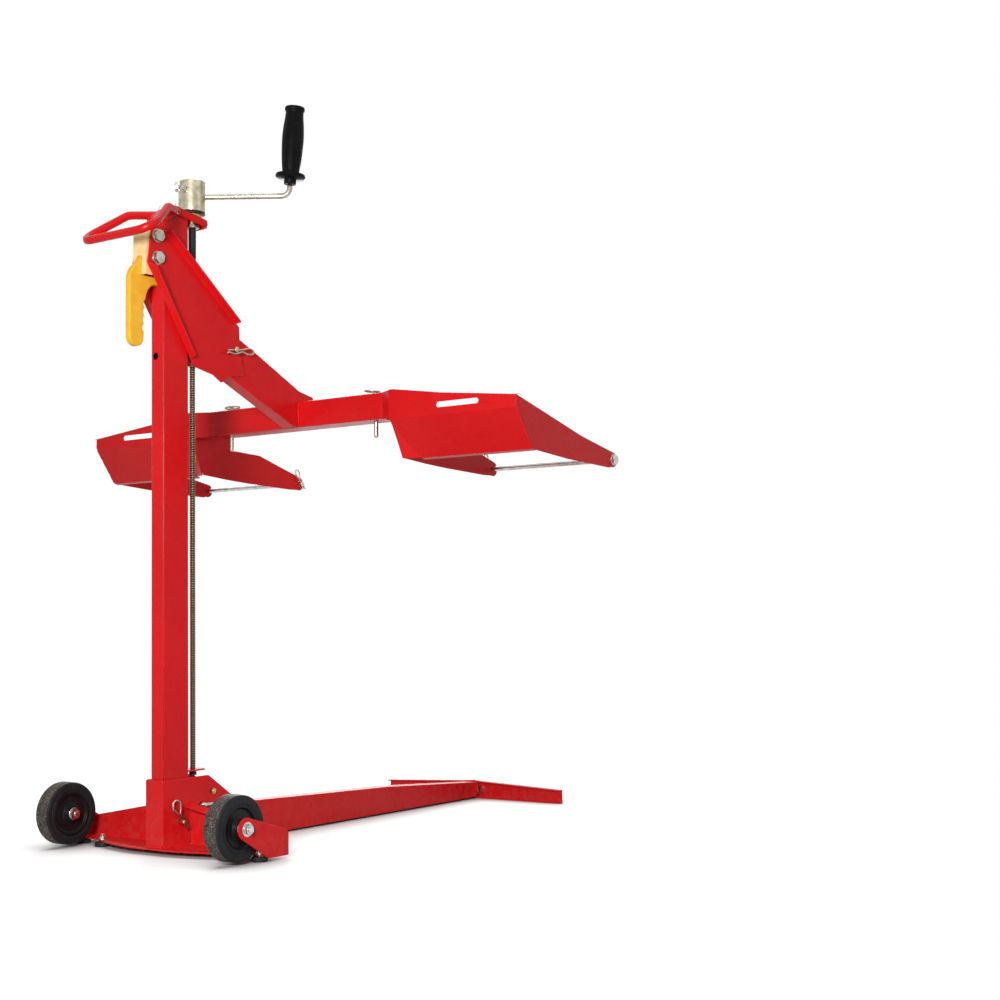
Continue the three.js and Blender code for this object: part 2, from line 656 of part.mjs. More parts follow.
// The grip turns on the arm's upright end. Its body swells and has grooves down its length.
function crankGrip() {
  const height = CRANK.gripTop - CRANK.gripBottom;
  const outline = new THREE.SplineCurve([
    new THREE.Vector2(18.2, 26), new THREE.Vector2(22, 65), new THREE.Vector2(23.4, 100),
    new THREE.Vector2(21.5, 130), new THREE.Vector2(19.3, height - 11),
  ]).getPoints(5).map((point) => [point.x, point.y]);
  const grip = turned("z", [
    [0, 0], [13, 0], [13, 12], [30, 13], [32, 16], [32, 22], [29, 26], ...outline,
    [21.5, height - 8], [21.5, height - 1.5], [20, height], [0, height],
  ], 24);
  const flutes = [0, 1, 2, 3, 4, 5, 6, 7].map((index) => {
    const angle = (2 * Math.PI * index) / 8;
    const groove = bar("z", 0, 0, 2.4, 36, height - 22, 4);
    return groove.translate(Math.cos(angle) * 24.2, Math.sin(angle) * 24.2, 0);
  });
  const bore = bar("z", 0, 0, CRANK.rodRadius + 0.5, -1, height - 28, 12);
  const geometry = toGeometry(cut(join(grip), bore, ...flutes));
  geometry.rotateY(lean).translate(armEnd, 0, CRANK.gripBottom);
  return towardsCrank(geometry);
}
add("crank_grip", crankGrip(), "plastic");

// Carriage: two side plates with bent edges that straddle the mast

const plateIn = CARRIAGE.outerX - SHEET;
const upperEdge = { start: [-36, 1282], end: [171.5, 1113.5] };
const lowerEdge = { start: [-83, 1204], end: [25.7, 1046] };

function carriagePlate() {
  const outline = [
    [-73.5, 1281], [-74.5, 1262], lowerEdge.start, lowerEdge.end, [41, 1013], [38.6, 1005], [103, 992],
    [128.4, 977.7], [150, 992], [196, 1000], [183, 1068], [181.5, 1105], upperEdge.end, upperEdge.start,
  ];
  const plate = join(extrude("x", outline, plateIn, CARRIAGE.outerX));
  const lipX = 42;
  const rootX = CARRIAGE.outerX - 2;
  const upperLip = panel([
    [rootX, ...upperEdge.start], [lipX, -30, 1278], [lipX, 171, 1115], [rootX, ...upperEdge.end],
  ], -SHEET);
  const lowerLip = panel([
    [rootX, ...lowerEdge.start], [rootX, 38, 1019], [lipX - 4, 38, 1024], [lipX, -76, 1196],
  ], -SHEET);
  const whole = plate.add(solid(upperLip)).add(solid(lowerLip));
  const holes = CARRIAGE.boltZ.map((z) => bar("x", CARRIAGE.boltY, z, 6.4, 10, 30, 16));
  return cut(whole, ...holes, bar("x", CARRIAGE.pinY, CARRIAGE.pinZ, 6.4, 10, 30, 16));
}
const rightPlate = carriagePlate();
add("right_carriage_plate", rightPlate, "red");
// The left plate's lower edge is straight, without the right one's pointed gusset.
add("left_carriage_plate", mirror(toGeometry(cut(rightPlate, box(0, 60, 30, 210, 960, 1011)))), "red");

["upper", "lower"].forEach((place, index) => {
  const z = CARRIAGE.boltZ[index];
  add(`${place}_roller_bolt`, join(
    bar("x", CARRIAGE.boltY, z, 6, -CARRIAGE.outerX - 9, CARRIAGE.outerX + 1, 16),
    bar("x", CARRIAGE.boltY, z, 14.5, CARRIAGE.outerX + GAP, CARRIAGE.outerX + 2, 20),
    bar("x", CARRIAGE.boltY, z, 13, CARRIAGE.outerX + 1.5, CARRIAGE.outerX + 10, 6),
    bar("x", CARRIAGE.boltY, z, 13, -CARRIAGE.outerX - 10, -CARRIAGE.outerX - GAP, 6),
  ), "zinc");
});

// Rollers that run down the mast's back, between the latch lever's flanges
["upper", "lower"].forEach((place, index) => {
  const z = CARRIAGE.boltZ[index];
  const radius = -CARRIAGE.boltY - MAST.halfY - GAP;
  const half = LATCH.halfX - LATCH_SHEET - GAP;
  add(`${place}_roller`, cut(
    join(bar("x", CARRIAGE.boltY, z, radius, -half, half, 28)),
    bar("x", CARRIAGE.boltY, z, 6.5, -30, 30, 16),
  ), "plastic");
});

// Nut block on the screw, and the pad below it that slides on the mast's front
const nutZ = [1078, 1104];
add("lift_nut", cut(
  join(
    box(-plateIn + GAP, plateIn - GAP, MAST.halfY + GAP + 2, SCREW.y + 22.7, ...nutZ),
    bar("z", 0, SCREW.y, 15, 1066, 1080, 24),
  ),
  bar("z", 0, SCREW.y, SCREW.radius + 0.35, 1000, 1200, 28),
), "zinc");
add("slide_pad", join(box(-plateIn + GAP, plateIn - GAP, MAST.halfY + GAP, 51, 1012, 1050)), "plastic");

// Boom: a square tube that slopes down to the crossbar and is cut to sit on it
function boomTube() {
  const { halfX } = BOOM;
  const wall = 3;
  const top = [[150, 1098], [188, 1081], [244, 1054.7], [381, 986.4], [429, 976]];
  const bottom = [[429, CROSSBAR.bottom + 20], [364, 902], [147.6, 999], [124, 1010]];
  const inTop = [[110, 1113], [188, 1077.7], [244, 1051.4], [380, 983], [440, 970]];
  const inBottom = [[440, 905], [366, 905], [147.6, 1002.3], [90, 1028]];
  const tube = cut(
    join(extrude("x", [...top, ...bottom], -halfX, halfX, 3)),
    extrude("x", [...inTop, ...inBottom], -halfX + wall, halfX - wall),
  );
  const { nearY, farY, halfX: barX } = CROSSBAR;
  return cut(
    tube,
    box(-barX, barX, nearY - GAP, farY + 5, CROSSBAR.bottom - 20, CROSSBAR.top + GAP),
    bar("x", CARRIAGE.pinY, CARRIAGE.pinZ, 6.4, -30, 30, 16),
  );
}
add("boom_tube", boomTube(), "red");

const boomPinEnd = CARRIAGE.outerX + 15;
const boomPinRadius = 6;
const boomClipTurn = -3;
add("boom_pin", cut(
  join(
    bar("x", CARRIAGE.pinY, CARRIAGE.pinZ, boomPinRadius, -CARRIAGE.outerX - 1, boomPinEnd, 16),
    bar("x", CARRIAGE.pinY, CARRIAGE.pinZ, 9.5, -CARRIAGE.outerX - 7, -CARRIAGE.outerX - GAP, 20),
  ),
  crossHole(boomPinEnd - CLIP_INSET, CARRIAGE.pinY, CARRIAGE.pinZ, boomClipTurn),
), "zinc");
add("boom_pin_clip", hairpin(boomPinEnd - CLIP_INSET, CARRIAGE.pinY, CARRIAGE.pinZ, boomClipTurn, 1.55), "zinc");

// Crossbar: a hollow bar open at both ends, where the trays' tubes slide in
function crossbar() {
  const { halfX, nearY, farY, bottom, top, wall, pinX } = CROSSBAR;
  const pinY = (nearY + farY) / 2;
  return cut(
    join(extrude("x", rounded(nearY, farY, bottom, top, TUBE_CORNER), -halfX, halfX, 0, 3)),
    box(-halfX - 1, halfX + 1, nearY + wall, farY - wall, bottom + wall, top - wall),
    bar("z", pinX, pinY, 6.4, bottom - 5, top + 5, 20),
    bar("z", -pinX, pinY, 6.4, bottom - 5, top + 5, 20),
  );
}
add("crossbar", crossbar(), "red");

// Lock pins dropped through the crossbar, each with a pull ring that lies back on the bar
function lockPin() {
  const { nearY, farY, top, pinX } = CROSSBAR;
  const pinY = (nearY + farY) / 2;
  const reach = 15;
  const wireRadius = 1.7;
  const openAngle = 0.5;
  const steps = 18;
  const highZ = top + 12;
  const lowZ = top + wireRadius + GAP;
  const route = [];
  for (let k = 0; k <= steps; k += 1) {
    const angle = openAngle / 2 + ((2 * Math.PI - openAngle) * k) / steps;
    const share = (1 + Math.cos(angle)) / 2;
    route.push(new THREE.Vector3(
      pinX - reach + reach * Math.cos(angle),
      pinY + reach * Math.sin(angle),
      lowZ + (highZ - lowZ) * share,
    ));
  }
  return join(
    bar("z", pinX, pinY, 6, 866, top + 16, 20),
    bar("z", pinX, pinY, 10, top + GAP, top + 5, 20),
    wire(route, wireRadius, 6),
  );
}
addPair("lock_pin", lockPin(), "zinc");

// Latch: a lever bent to a channel round the rollers, hung on the upper bolt, and a pistol grip
// on its back whose toe rests on the mast. The flanges are open where the lower bolt passes.
function latchLever() {
  const { halfX, backY, bottom, top, pivotY, pivotZ } = LATCH;
  const outline = [
    [backY, bottom], [-66, bottom], [-50, 1202], [-46, 1232], [-44, 1262], [-48, top], [backY, top],
  ];
  const lowerZ = CARRIAGE.boltZ[1];
  return cut(
    join(extrude("x", outline, -halfX, halfX)),
    box(LATCH_SHEET - halfX, halfX - LATCH_SHEET, backY + LATCH_SHEET, 0, bottom - 5, top + 5),
    bar("x", pivotY, pivotZ, 6.5, -30, 30, 20),
    box(-30, 30, pivotY - 8, 0, lowerZ - 8, lowerZ + 13),
  );
}
add("latch_lever", latchLever(), "cream");

function latchGrip() {
  const outline = new THREE.Shape();
  outline.moveTo(-117, 1050);
  outline.lineTo(-117, 1166);
  outline.quadraticCurveTo(-117, 1190, -96, 1203);
  outline.lineTo(LATCH.backY - GAP, 1222);
  outline.lineTo(LATCH.backY - GAP, LATCH.bottom - GAP);
  outline.lineTo(-50, LATCH.bottom - GAP);
  outline.lineTo(MAST.halfY * -1 - GAP, 1165);
  outline.lineTo(-52, 1163);
  outline.quadraticCurveTo(-70, 1156, -74, 1130);
  const grooveCount = 4;
  const pitch = 17;
  for (let k = 0; k < grooveCount; k += 1) {
    const top = 1130 - k * pitch;
    outline.quadraticCurveTo(-83 - k, top - pitch / 2, -75 - k, top - pitch);
  }
  outline.lineTo(-78, 1050);
  outline.absarc(-97.5, 1050, 19.5, 0, -Math.PI, true);
  return join(extrude("x", outline, -LATCH.gripHalf, LATCH.gripHalf, 2, 4));
}
add("latch_grip", latchGrip(), "yellow");

// Wheel trays: bent sheet walls round an open bottom, closed on the far side by a rod

function traySlot() {
  const [from, to] = TRAY.slotX;
  const half = 6;
  const slot = new THREE.Shape();
  slot.absarc(from + half, TRAY.slotZ, half, Math.PI / 2, -Math.PI / 2);
  slot.absarc(to - half, TRAY.slotZ, half, -Math.PI / 2, Math.PI / 2);
  return extrude("y", slot, TRAY.nearY - 5, TRAY.nearY + 8);
}

function sideWall(outline, from) {
  const shape = new THREE.Shape();
  outline.before.forEach(([y, z], index) => (index === 0 ? shape.moveTo(y, z) : shape.lineTo(y, z)));
  const tip = 17;
  shape.absarc(TRAY.rodY, TRAY.rodZ, tip, THREE.MathUtils.degToRad(-110), THREE.MathUtils.degToRad(70));
  outline.after.forEach(([y, z]) => shape.lineTo(y, z));
  return extrude("x", shape, from, from + THIN_SHEET);
}

// The near wall is one bent strip: an upright band, a slope below its fold, and a turned-in lip.
function trayNearWall() {
  const t = THIN_SHEET;
  const { nearY, foldZ, bevelX, outerX, lipY, lipZ, lipInnerX, outerTopZ, innerTopZ } = TRAY;
  const lipEnd = lipY + 12;
  const strip = extrude("x", [
    [nearY, innerTopZ], [nearY, foldZ], [lipY, lipZ], [lipEnd, lipZ - 3],
    [lipEnd, lipZ], [lipY + 1.7, lipZ + 2.6], [nearY + t, foldZ + 0.9], [nearY + t, innerTopZ],
  ], bevelX, outerX);
  const above = extrude("y", [
    [outerX + 5, outerTopZ - 0.6], [550, 931], [445, 942], [311, innerTopZ + 0.5], [311, 990], [outerX + 5, 990],
  ], nearY - 5, nearY + 10);
  const besideSlope = extrude("y", [
    [bevelX - 10, foldZ], [bevelX, foldZ], [lipInnerX, lipZ], [lipInnerX + 2, 790], [bevelX - 10, 790],
  ], nearY - 5, lipEnd + 5);
  return cut(join(strip), above, besideSlope, traySlot());
}

function trayShell() {
  const t = THIN_SHEET;
  const { nearY, foldZ, innerX, bevelX, outerX, lipY, lipZ, lipInnerX, outerTopZ, innerTopZ } = TRAY;
  const inset = 1;
  const startX = CROSSBAR.halfX + GAP;
  const bevelFlange = extrude("z", [
    [startX, CROSSBAR.nearY], [bevelX + inset, nearY + 0.6], [bevelX + 2, nearY + 2.6], [startX, CROSSBAR.nearY + t],
  ], foldZ + 4, innerTopZ - 0.4);
  const corner = panel([
    [bevelX + inset, nearY + inset, foldZ + 0.6], [innerX + inset, 366, 874.5],
    [innerX + inset, 397, 814.5], [lipInnerX + inset, lipY + inset, lipZ + 0.8],
  ], -t);
  const outerWall = sideWall({
    before: [[nearY + inset, foldZ], [lipY + inset, lipZ + 0.5], [443, 810], [551, 801], [719, 793.5]],
    after: [[606, 855], [nearY + inset, outerTopZ]],
  }, outerX - t);
  const innerWall = sideWall({
    before: [
      [nearY + inset, innerTopZ - 2], [nearY + inset, foldZ], [366, 874.5], [397, 814.5],
      [478, 807], [555, 802], [699, 795.5],
    ],
    after: [[683, 845.5], [590, 874.5], [494, 880], [486, innerTopZ - 5], [nearY + 10, innerTopZ - 2]],
  }, innerX);
  const shell = join(bevelFlange, corner, outerWall, innerWall).add(trayNearWall()).add(trayTube());
  return cut(shell, bar("x", TRAY.rodY, TRAY.rodZ, TRAY.rodRadius + 0.4, innerX - 5, outerX + 5, 16));
}
addPair("tray", trayShell(), "red");

// The tube that slides in the crossbar has a long slot, so the tray can be set at any width.
function trayTube() {
  const { nearY, farY, bottom, top, wall, pinX } = CROSSBAR;
  const play = 1.2;
  const [y0, y1] = [nearY + wall + play, farY - wall - play];
  const [z0, z1] = [bottom + wall + play, top - wall - play];
  const pinY = (nearY + farY) / 2;
  const start = 100;
  const slotHalf = 7;
  const slot = new THREE.Shape();
  slot.absarc(pinX + 1, pinY, slotHalf, -Math.PI / 2, Math.PI / 2);
  slot.absarc(start + 18, pinY, slotHalf, Math.PI / 2, -Math.PI / 2);
  return cut(
    join(extrude("x", rounded(y0, y1, z0, z1, TUBE_CORNER), start, TRAY.innerX + 1, 0, 2)),
    box(start - 1, TRAY.innerX, y0 + wall, y1 - wall, z0 + wall, z1 - wall),
    extrude("z", slot, bottom - 5, top + 5),
  );
}

function trayRod() {
  const { innerX, outerX, rodY, rodZ, rodRadius } = TRAY;
  const end = innerX - 13;
  return cut(
    join(
      bar("x", rodY, rodZ, rodRadius, end, outerX + 2, 16),
      bar("x", rodY, rodZ, 11, outerX + GAP, outerX + 8, 6),
    ),
    crossHole(end + 6, rodY, rodZ, 112),
  );
}
addPair("tray_rod", trayRod(), "zinc");
const clipX = TRAY.innerX - 7;
addPair("rod_clip", solid(hairpin(clipX, TRAY.rodY, TRAY.rodZ, 112, 0.85)), "zinc");

export default lift;
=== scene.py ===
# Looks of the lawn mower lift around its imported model: camera, materials, finer pieces, floor and lights.
# Lengths are in millimetres from the mast's centre line, as in the CAD, until a mesh is made in metres.
# x runs to the right, y from the operator towards the load, and z up.
import math

import bmesh
import bpy
from mathutils import Matrix, Vector, noise


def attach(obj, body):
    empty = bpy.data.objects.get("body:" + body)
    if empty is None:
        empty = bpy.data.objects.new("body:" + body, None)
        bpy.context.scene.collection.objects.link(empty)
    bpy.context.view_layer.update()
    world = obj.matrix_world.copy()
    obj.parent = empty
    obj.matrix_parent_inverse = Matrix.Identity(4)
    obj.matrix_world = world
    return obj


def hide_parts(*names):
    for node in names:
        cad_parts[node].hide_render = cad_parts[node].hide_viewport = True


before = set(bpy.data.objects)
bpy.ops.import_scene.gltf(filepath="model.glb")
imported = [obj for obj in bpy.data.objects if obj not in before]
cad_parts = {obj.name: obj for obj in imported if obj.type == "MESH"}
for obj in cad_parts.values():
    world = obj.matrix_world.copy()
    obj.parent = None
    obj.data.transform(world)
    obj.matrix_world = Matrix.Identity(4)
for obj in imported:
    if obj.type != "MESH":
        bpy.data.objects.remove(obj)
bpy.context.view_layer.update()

# Driving dimensions
MM = 0.001
BACK_Y = -163
FOOT_BAR_Y = 1069
FOOT_BAR_SHEET = 6
ORIGIN_Y = (BACK_Y + FOOT_BAR_Y + FOOT_BAR_SHEET) / 2
FLOOR_Z = -4.7
GAP = 0.3  # between parts that move or are fitted
SEAT = 0.05  # under a washer
SEAM = 0.6  # from a corner to the middle of its weld bead
CLIP_IN = 6  # from a pin's end to its clip
SIDES = (("right", 1), ("left", -1))
MAST = {"half_x": 19.05, "half_y": 35.7}
SCREW = {"y": 64.3, "radius": 6.35, "root": 5.1, "core": 5.0, "bottom": 152, "top": 1403, "lead": 5}
SOCKET = {"x": 25.5, "back_y": -43.5}
HITCH = {"at": (6, 55.6), "radius": 5, "head": 8.5, "end": SOCKET["x"] + 13, "clip_turn": 127}
STOP_PIN = {"y": 64, "z": 84.6, "radius": 4.4, "bend": 5.5, "handle_y": 98}
BASE = {"x": 280, "sheet": 4, "wall_y": 30.5, "bottom": 5.5, "top": 8.5}
AXLE = {"y": -64.5, "z": 65.5, "radius": 6, "root": 5.6, "sleeve": 9, "head": 9.6, "nut": 9.2, "washer": 14.2}
WHEEL = {"radius": 65, "rim": 47, "width": 40, "hub_end": 21, "x": 245}
PADS = {"inner": (181, -21), "outer": (258, -7)}
FOOT = {"sole": 15, "pad": 16.5, "neck": 14.8, "stud": 4, "root": 3.4, "washer": 8.6, "nut": 6.6}
LEG_PIVOT = {"at": (96, 110), "radius": 4, "head": 8.2, "nut": 5.8}
FOOT_BAR_BOLT = {"at": (25, 16), "radius": 5, "head": 8, "washer": 9.6}
HUB = {"radius": 29, "flat_x": -24.5}
HUB_BOLT = {"z": 1397, "radius": 4.6, "head": 9.4}
SET_SCREW = {"z": 1386, "radius": 3.6, "head": 7.4, "turn": 66}
CRANK = {"turn": 35, "z": 1374, "rod": 6, "spindle": 5.2, "reach": 210, "bend": 18, "lean": 4.1}
GRIP = {"bottom": 1399, "top": 1568, "bore": 5.6, "flutes": 8, "flute_depth": 0.028}
CARRIAGE_X = 24
ROLLER_BOLTS = {"upper": (-58, 1264), "lower": (-58, 1217.7)}
ROLLER_BOLT = {"radius": 6, "washer": 14.2, "head": 11.6, "nut": 11.4}
BOOM_PIN = {"at": (161, 1052), "radius": 6, "head": 9.5, "end": CARRIAGE_X + 15, "clip_turn": 7}
CROSSBAR = {"near": 375, "far": 441, "top": 961}
LOCK_PIN = {"x": 222, "y": (CROSSBAR["near"] + CROSSBAR["far"]) / 2, "tip": 866, "radius": 5, "collar": 10}
PULL_RING = {"radius": 17, "wire": 2.1, "out_x": -7, "out_y": -4, "rise": 1.5, "above": 9, "steps": 56}
TRAY = {"inner": 305, "outer": 637, "near": 354.6}
TRAY_ROD = {"at": (735, 812), "radius": 6, "washer": 12.6, "nut": 10.2, "end": TRAY["inner"] - 13,
            "clip_turn": 124}

# The camera, as fitted to the straight edges in the photograph: degrees, and millimetres
CAMERA = {"azimuth": 34.97, "pitch": 3.97, "roll": -0.83, "lens": 57.4, "sensor": 36,
          "place": (2466.74, -2325.13, 478.66)}

# Background, floor and lamps: metres and watts, and greys
WHITE = (1, 1, 1, 1)
SKY_LIGHT = 0.17
FLOOR = {"half": 30, "below": 0.0002, "near": 0.8, "far": 1.7, "shadow_reach": 0.22, "glow": 0.66,
         "lit": (0.45, 0.45, 0.45), "seen": (0.62, 0.62, 0.62)}
LAMP_AIM = (0, 0, 0.8)
LAMPS = {  # place, size across and power
    "key": ((1.5, -2.75, 1.05), 0.6, 68),
    "fill": ((3.4, 0.4, 1.8), 2.4, 8),
    "top": ((0.4, 0.0, 4.6), 3.0, 34),
    "back": ((-2.2, 2.6, 1.9), 2.0, 75),
}


def row(point):
    """A place in the CAD's millimetres, as metres in the row frame."""
    return Vector((point[0] * MM, (point[1] - ORIGIN_Y) * MM, (point[2] - FLOOR_Z) * MM))


bpy.context.scene.view_settings.view_transform = "Standard"

# Camera


def make_camera():
    azimuth, pitch, roll = (math.radians(CAMERA[angle]) for angle in ("azimuth", "pitch", "roll"))
    ahead = Vector((-math.sin(azimuth), math.cos(azimuth), 0))
    aside = Vector((math.cos(azimuth), math.sin(azimuth), 0))
    up = Vector((0, 0, 1))
    forward = ahead * math.cos(pitch) + up * math.sin(pitch)
    upright = up * math.cos(pitch) - ahead * math.sin(pitch)
    right = aside * math.cos(roll) + upright * math.sin(roll)
    top = upright * math.cos(roll) - aside * math.sin(roll)
    data = bpy.data.cameras.new("camera")
    data.sensor_width = CAMERA["sensor"]
    data.lens = CAMERA["lens"]
    camera = bpy.data.objects.new("camera", data)
    bpy.context.scene.collection.objects.link(camera)
    turn = Matrix((right, top, -forward)).transposed().to_4x4()
    camera.matrix_world = Matrix.Translation(row(CAMERA["place"])) @ turn
    bpy.context.scene.camera = camera


make_camera()

# Materials


def new_material(name):
    made = bpy.data.materials.new(name)
    made.use_nodes = True
    return made, made.node_tree, made.node_tree.nodes["Principled BSDF"]


def add_node(tree, kind, inputs=None, **settings):
    made = tree.nodes.new(kind)
    for key, value in settings.items():
        setattr(made, key, value)
    for key, value in (inputs or {}).items():
        if isinstance(value, bpy.types.NodeSocket):
            tree.links.new(value, made.inputs[key])
        else:
            made.inputs[key].default_value = value
    return made


def object_place(tree):
    return add_node(tree, "ShaderNodeTexCoord").outputs["Object"]


def noise_at(tree, place, scale, detail=3.0, rough=0.55):
    settings = {"Vector": place, "Scale": scale, "Detail": detail, "Roughness": rough}
    return add_node(tree, "ShaderNodeTexNoise", settings).outputs["Fac"]


def ramp(tree, value, *stops):
    """A colour or grey for a value, given as (position, colour) stops."""
    made = add_node(tree, "ShaderNodeValToRGB", {"Fac": value})
    elements = made.color_ramp.elements
    while len(elements) < len(stops):
        elements.new(0.5)
    for element, (position, colour) in zip(elements, stops):
        element.position = position
        element.color = (*colour, 1) if isinstance(colour, tuple) else (colour, colour, colour, 1)
    return made.outputs["Color"]


def mix(tree, share, first, second):
    made = add_node(tree, "ShaderNodeMix", data_type="RGBA")
    for socket, value in ((made.inputs[0], share), (made.inputs[6], first), (made.inputs[7], second)):
        if isinstance(value, bpy.types.NodeSocket):
            tree.links.new(value, socket)
        elif isinstance(value, tuple):
            socket.default_value = (*value, 1)
        else:
            socket.default_value = value
    return made.outputs[2]


def maths(tree, operation, *values):
    made = add_node(tree, "ShaderNodeMath", operation=operation)
    for socket, value in zip(made.inputs, values):
        if isinstance(value, bpy.types.NodeSocket):
            tree.links.new(value, socket)
        else:
            socket.default_value = value
    return made.outputs[0]


def bump(tree, shader, height, strength, distance):
    settings = {"Height": height, "Strength": strength, "Distance": distance}
    made = add_node(tree, "ShaderNodeBump", settings)
    tree.links.new(made.outputs["Normal"], shader.inputs["Normal"])


def height_above_floor(tree, place):
    return add_node(tree, "ShaderNodeSeparateXYZ", {"Vector": place}).outputs["Z"]


def edge_mask(tree, radius):
    """1 along outside and inside edges, 0 on flat parts."""
    rounded = add_node(tree, "ShaderNodeBevel", {"Radius": radius}, samples=4).outputs["Normal"]
    true_normal = add_node(tree, "ShaderNodeNewGeometry").outputs["Normal"]
    product = add_node(tree, "ShaderNodeVectorMath", operation="DOT_PRODUCT")
    tree.links.new(rounded, product.inputs[0])
    tree.links.new(true_normal, product.inputs[1])
    return ramp(tree, product.outputs["Value"], (0.90, 1.0), (0.995, 0.0))


def inside_mast(tree, place):
    """1 on the mast's inner faces, which are painted near black as shade, 0 outside."""
    split = add_node(tree, "ShaderNodeSeparateXYZ", {"Vector": place}).outputs
    across = maths(tree, "LESS_THAN", maths(tree, "ABSOLUTE", split["X"]), (MAST["half_x"] - 1) * MM)
    offset = maths(tree, "SUBTRACT", split["Y"], row((0, 0, 0)).y)
    along = maths(tree, "LESS_THAN", maths(tree, "ABSOLUTE", offset), (MAST["half_y"] - 1) * MM)
    return maths(tree, "MULTIPLY", across, along)


def red_coat(name="red_coat", inner_shade=None):
    """Glossy powder coat: slow changes of tone, a fine ripple, brighter edges from a thin coat and a painted
    highlight, dust low down.
    """
    made, tree, shader = new_material(name)
    place = object_place(tree)
    tone = ramp(tree, noise_at(tree, place, 4.0), (0.3, (0.65, 0.008, 0.010)), (0.7, (0.73, 0.010, 0.013)))
    cloud = ramp(tree, noise_at(tree, place, 26.0, 4.0), (0.42, 0.0), (0.68, 1.0))
    tone = mix(tree, maths(tree, "MULTIPLY", cloud, 0.16), tone, (0.56, 0.007, 0.009))
    edges = edge_mask(tree, 0.0022)
    chips = ramp(tree, noise_at(tree, place, 190.0, 5.0, 0.7), (0.56, 0.0), (0.66, 1.0))
    worn = maths(tree, "MULTIPLY", edges, chips)
    # Lighter along the edges: partly a thinner coat there, partly a painted highlight.
    tone = mix(tree, maths(tree, "MULTIPLY", edges, 0.35), tone, (0.80, 0.035, 0.035))
    tone = mix(tree, maths(tree, "MULTIPLY", worn, 0.5), tone, (0.86, 0.33, 0.26))
    low = ramp(tree, height_above_floor(tree, place), (0.0, 1.0), (0.14, 0.0))
    dust = ramp(tree, noise_at(tree, place, 60.0, 6.0, 0.7), (0.45, 0.0), (0.75, 1.0))
    dust = maths(tree, "MULTIPLY", maths(tree, "MULTIPLY", low, dust), 0.28)
    tone = mix(tree, dust, tone, (0.34, 0.21, 0.17))
    # Near black on the mast's inner faces: painted shade inside the tube.
    if inner_shade:
        tone = mix(tree, inner_shade(tree, place), tone, (0.012, 0.010, 0.010))
    tree.links.new(tone, shader.inputs["Base Color"])
    smooth = ramp(tree, noise_at(tree, place, 35.0, 4.0), (0.3, 0.24), (0.75, 0.37))
    tree.links.new(maths(tree, "ADD", smooth, maths(tree, "MULTIPLY", dust, 1.2)), shader.inputs["Roughness"])
    ripple = noise_at(tree, place, 420.0, 2.0, 0.5)
    bump(tree, shader, ripple, 0.10, 0.0006)
    shader.inputs["Specular IOR Level"].default_value = 0.15
    return made


def metal(name, light, dark, rough, metallic=1.0):
    """Plated or bare metal: two tones in blotches, fine grain and an uneven gloss."""
    made, tree, shader = new_material(name)
    place = object_place(tree)
    blotch = noise_at(tree, place, 70.0, 5.0, 0.6)
    tone = ramp(tree, blotch, (0.36, dark), (0.62, light))
    fine = noise_at(tree, place, 900.0, 3.0, 0.6)
    tone = mix(tree, maths(tree, "MULTIPLY", ramp(tree, fine, (0.5, 0.0), (0.8, 1.0)), 0.25), tone, dark)
    edges = edge_mask(tree, 0.0012)
    # Lighter along the edges: a painted highlight.
    tone = mix(tree, maths(tree, "MULTIPLY", edges, 0.3), tone, light)
    tree.links.new(tone, shader.inputs["Base Color"])
    gloss = ramp(tree, fine, (0.3, rough - 0.07), (0.7, rough + 0.10))
    tree.links.new(gloss, shader.inputs["Roughness"])
    shader.inputs["Metallic"].default_value = metallic
    bump(tree, shader, fine, 0.12, 0.0003)
    return made


def moulded(name, light, dark, rough, grain=700.0, depth=0.0003, scuff=0.0, gloss=0.2,
            worn=(0.30, 0.24, 0.19)):
    """Moulded plastic or rubber: a fine grain, slow tone changes, and pale scuffs where asked for."""
    made, tree, shader = new_material(name)
    place = object_place(tree)
    tone = ramp(tree, noise_at(tree, place, 45.0, 4.0), (0.35, dark), (0.7, light))
    if scuff:
        marks = ramp(tree, noise_at(tree, place, 330.0, 6.0, 0.75), (0.53, 0.0), (0.66, 1.0))
        tone = mix(tree, maths(tree, "MULTIPLY", marks, scuff), tone, worn)
    tree.links.new(tone, shader.inputs["Base Color"])
    fine = noise_at(tree, place, grain, 4.0, 0.6)
    tree.links.new(ramp(tree, fine, (0.3, rough - 0.06), (0.7, rough + 0.10)), shader.inputs["Roughness"])
    bump(tree, shader, fine, 0.35, depth)
    shader.inputs["Specular IOR Level"].default_value = gloss
    return made


def thread_steel():
    """Oiled rolled thread: dark in the root as painted shade, brighter and browner on the crest, partly a
    painted highlight.
    """
    made, tree, shader = new_material("thread_steel")
    place = object_place(tree)
    split = add_node(tree, "ShaderNodeSeparateXYZ", {"Vector": place}).outputs
    offset = maths(tree, "SUBTRACT", split["Y"], row((0, SCREW["y"], 0)).y)
    squares = maths(tree, "ADD", maths(tree, "POWER", split["X"], 2), maths(tree, "POWER", offset, 2))
    radius = maths(tree, "SQRT", squares)
    span = {"Value": radius, "From Min": 0.0052, "From Max": 0.0063}
    crest = add_node(tree, "ShaderNodeMapRange", span).outputs["Result"]
    # Tone by radius: painted shade in the root and a painted highlight on the crest.
    tone = ramp(tree, crest, (0.0, (0.030, 0.022, 0.014)), (0.55, (0.13, 0.095, 0.055)),
                (1.0, (0.28, 0.21, 0.12)))
    grime = ramp(tree, noise_at(tree, place, 130.0, 5.0, 0.65), (0.42, 0.0), (0.66, 1.0))
    tone = mix(tree, maths(tree, "MULTIPLY", grime, 0.45), tone, (0.07, 0.05, 0.03))
    tree.links.new(tone, shader.inputs["Base Color"])
    fine = noise_at(tree, place, 800.0)
    tree.links.new(ramp(tree, fine, (0.3, 0.38), (0.7, 0.55)), shader.inputs["Roughness"])
    shader.inputs["Metallic"].default_value = 0.85
    bump(tree, shader, fine, 0.15, 0.0002)
    return made


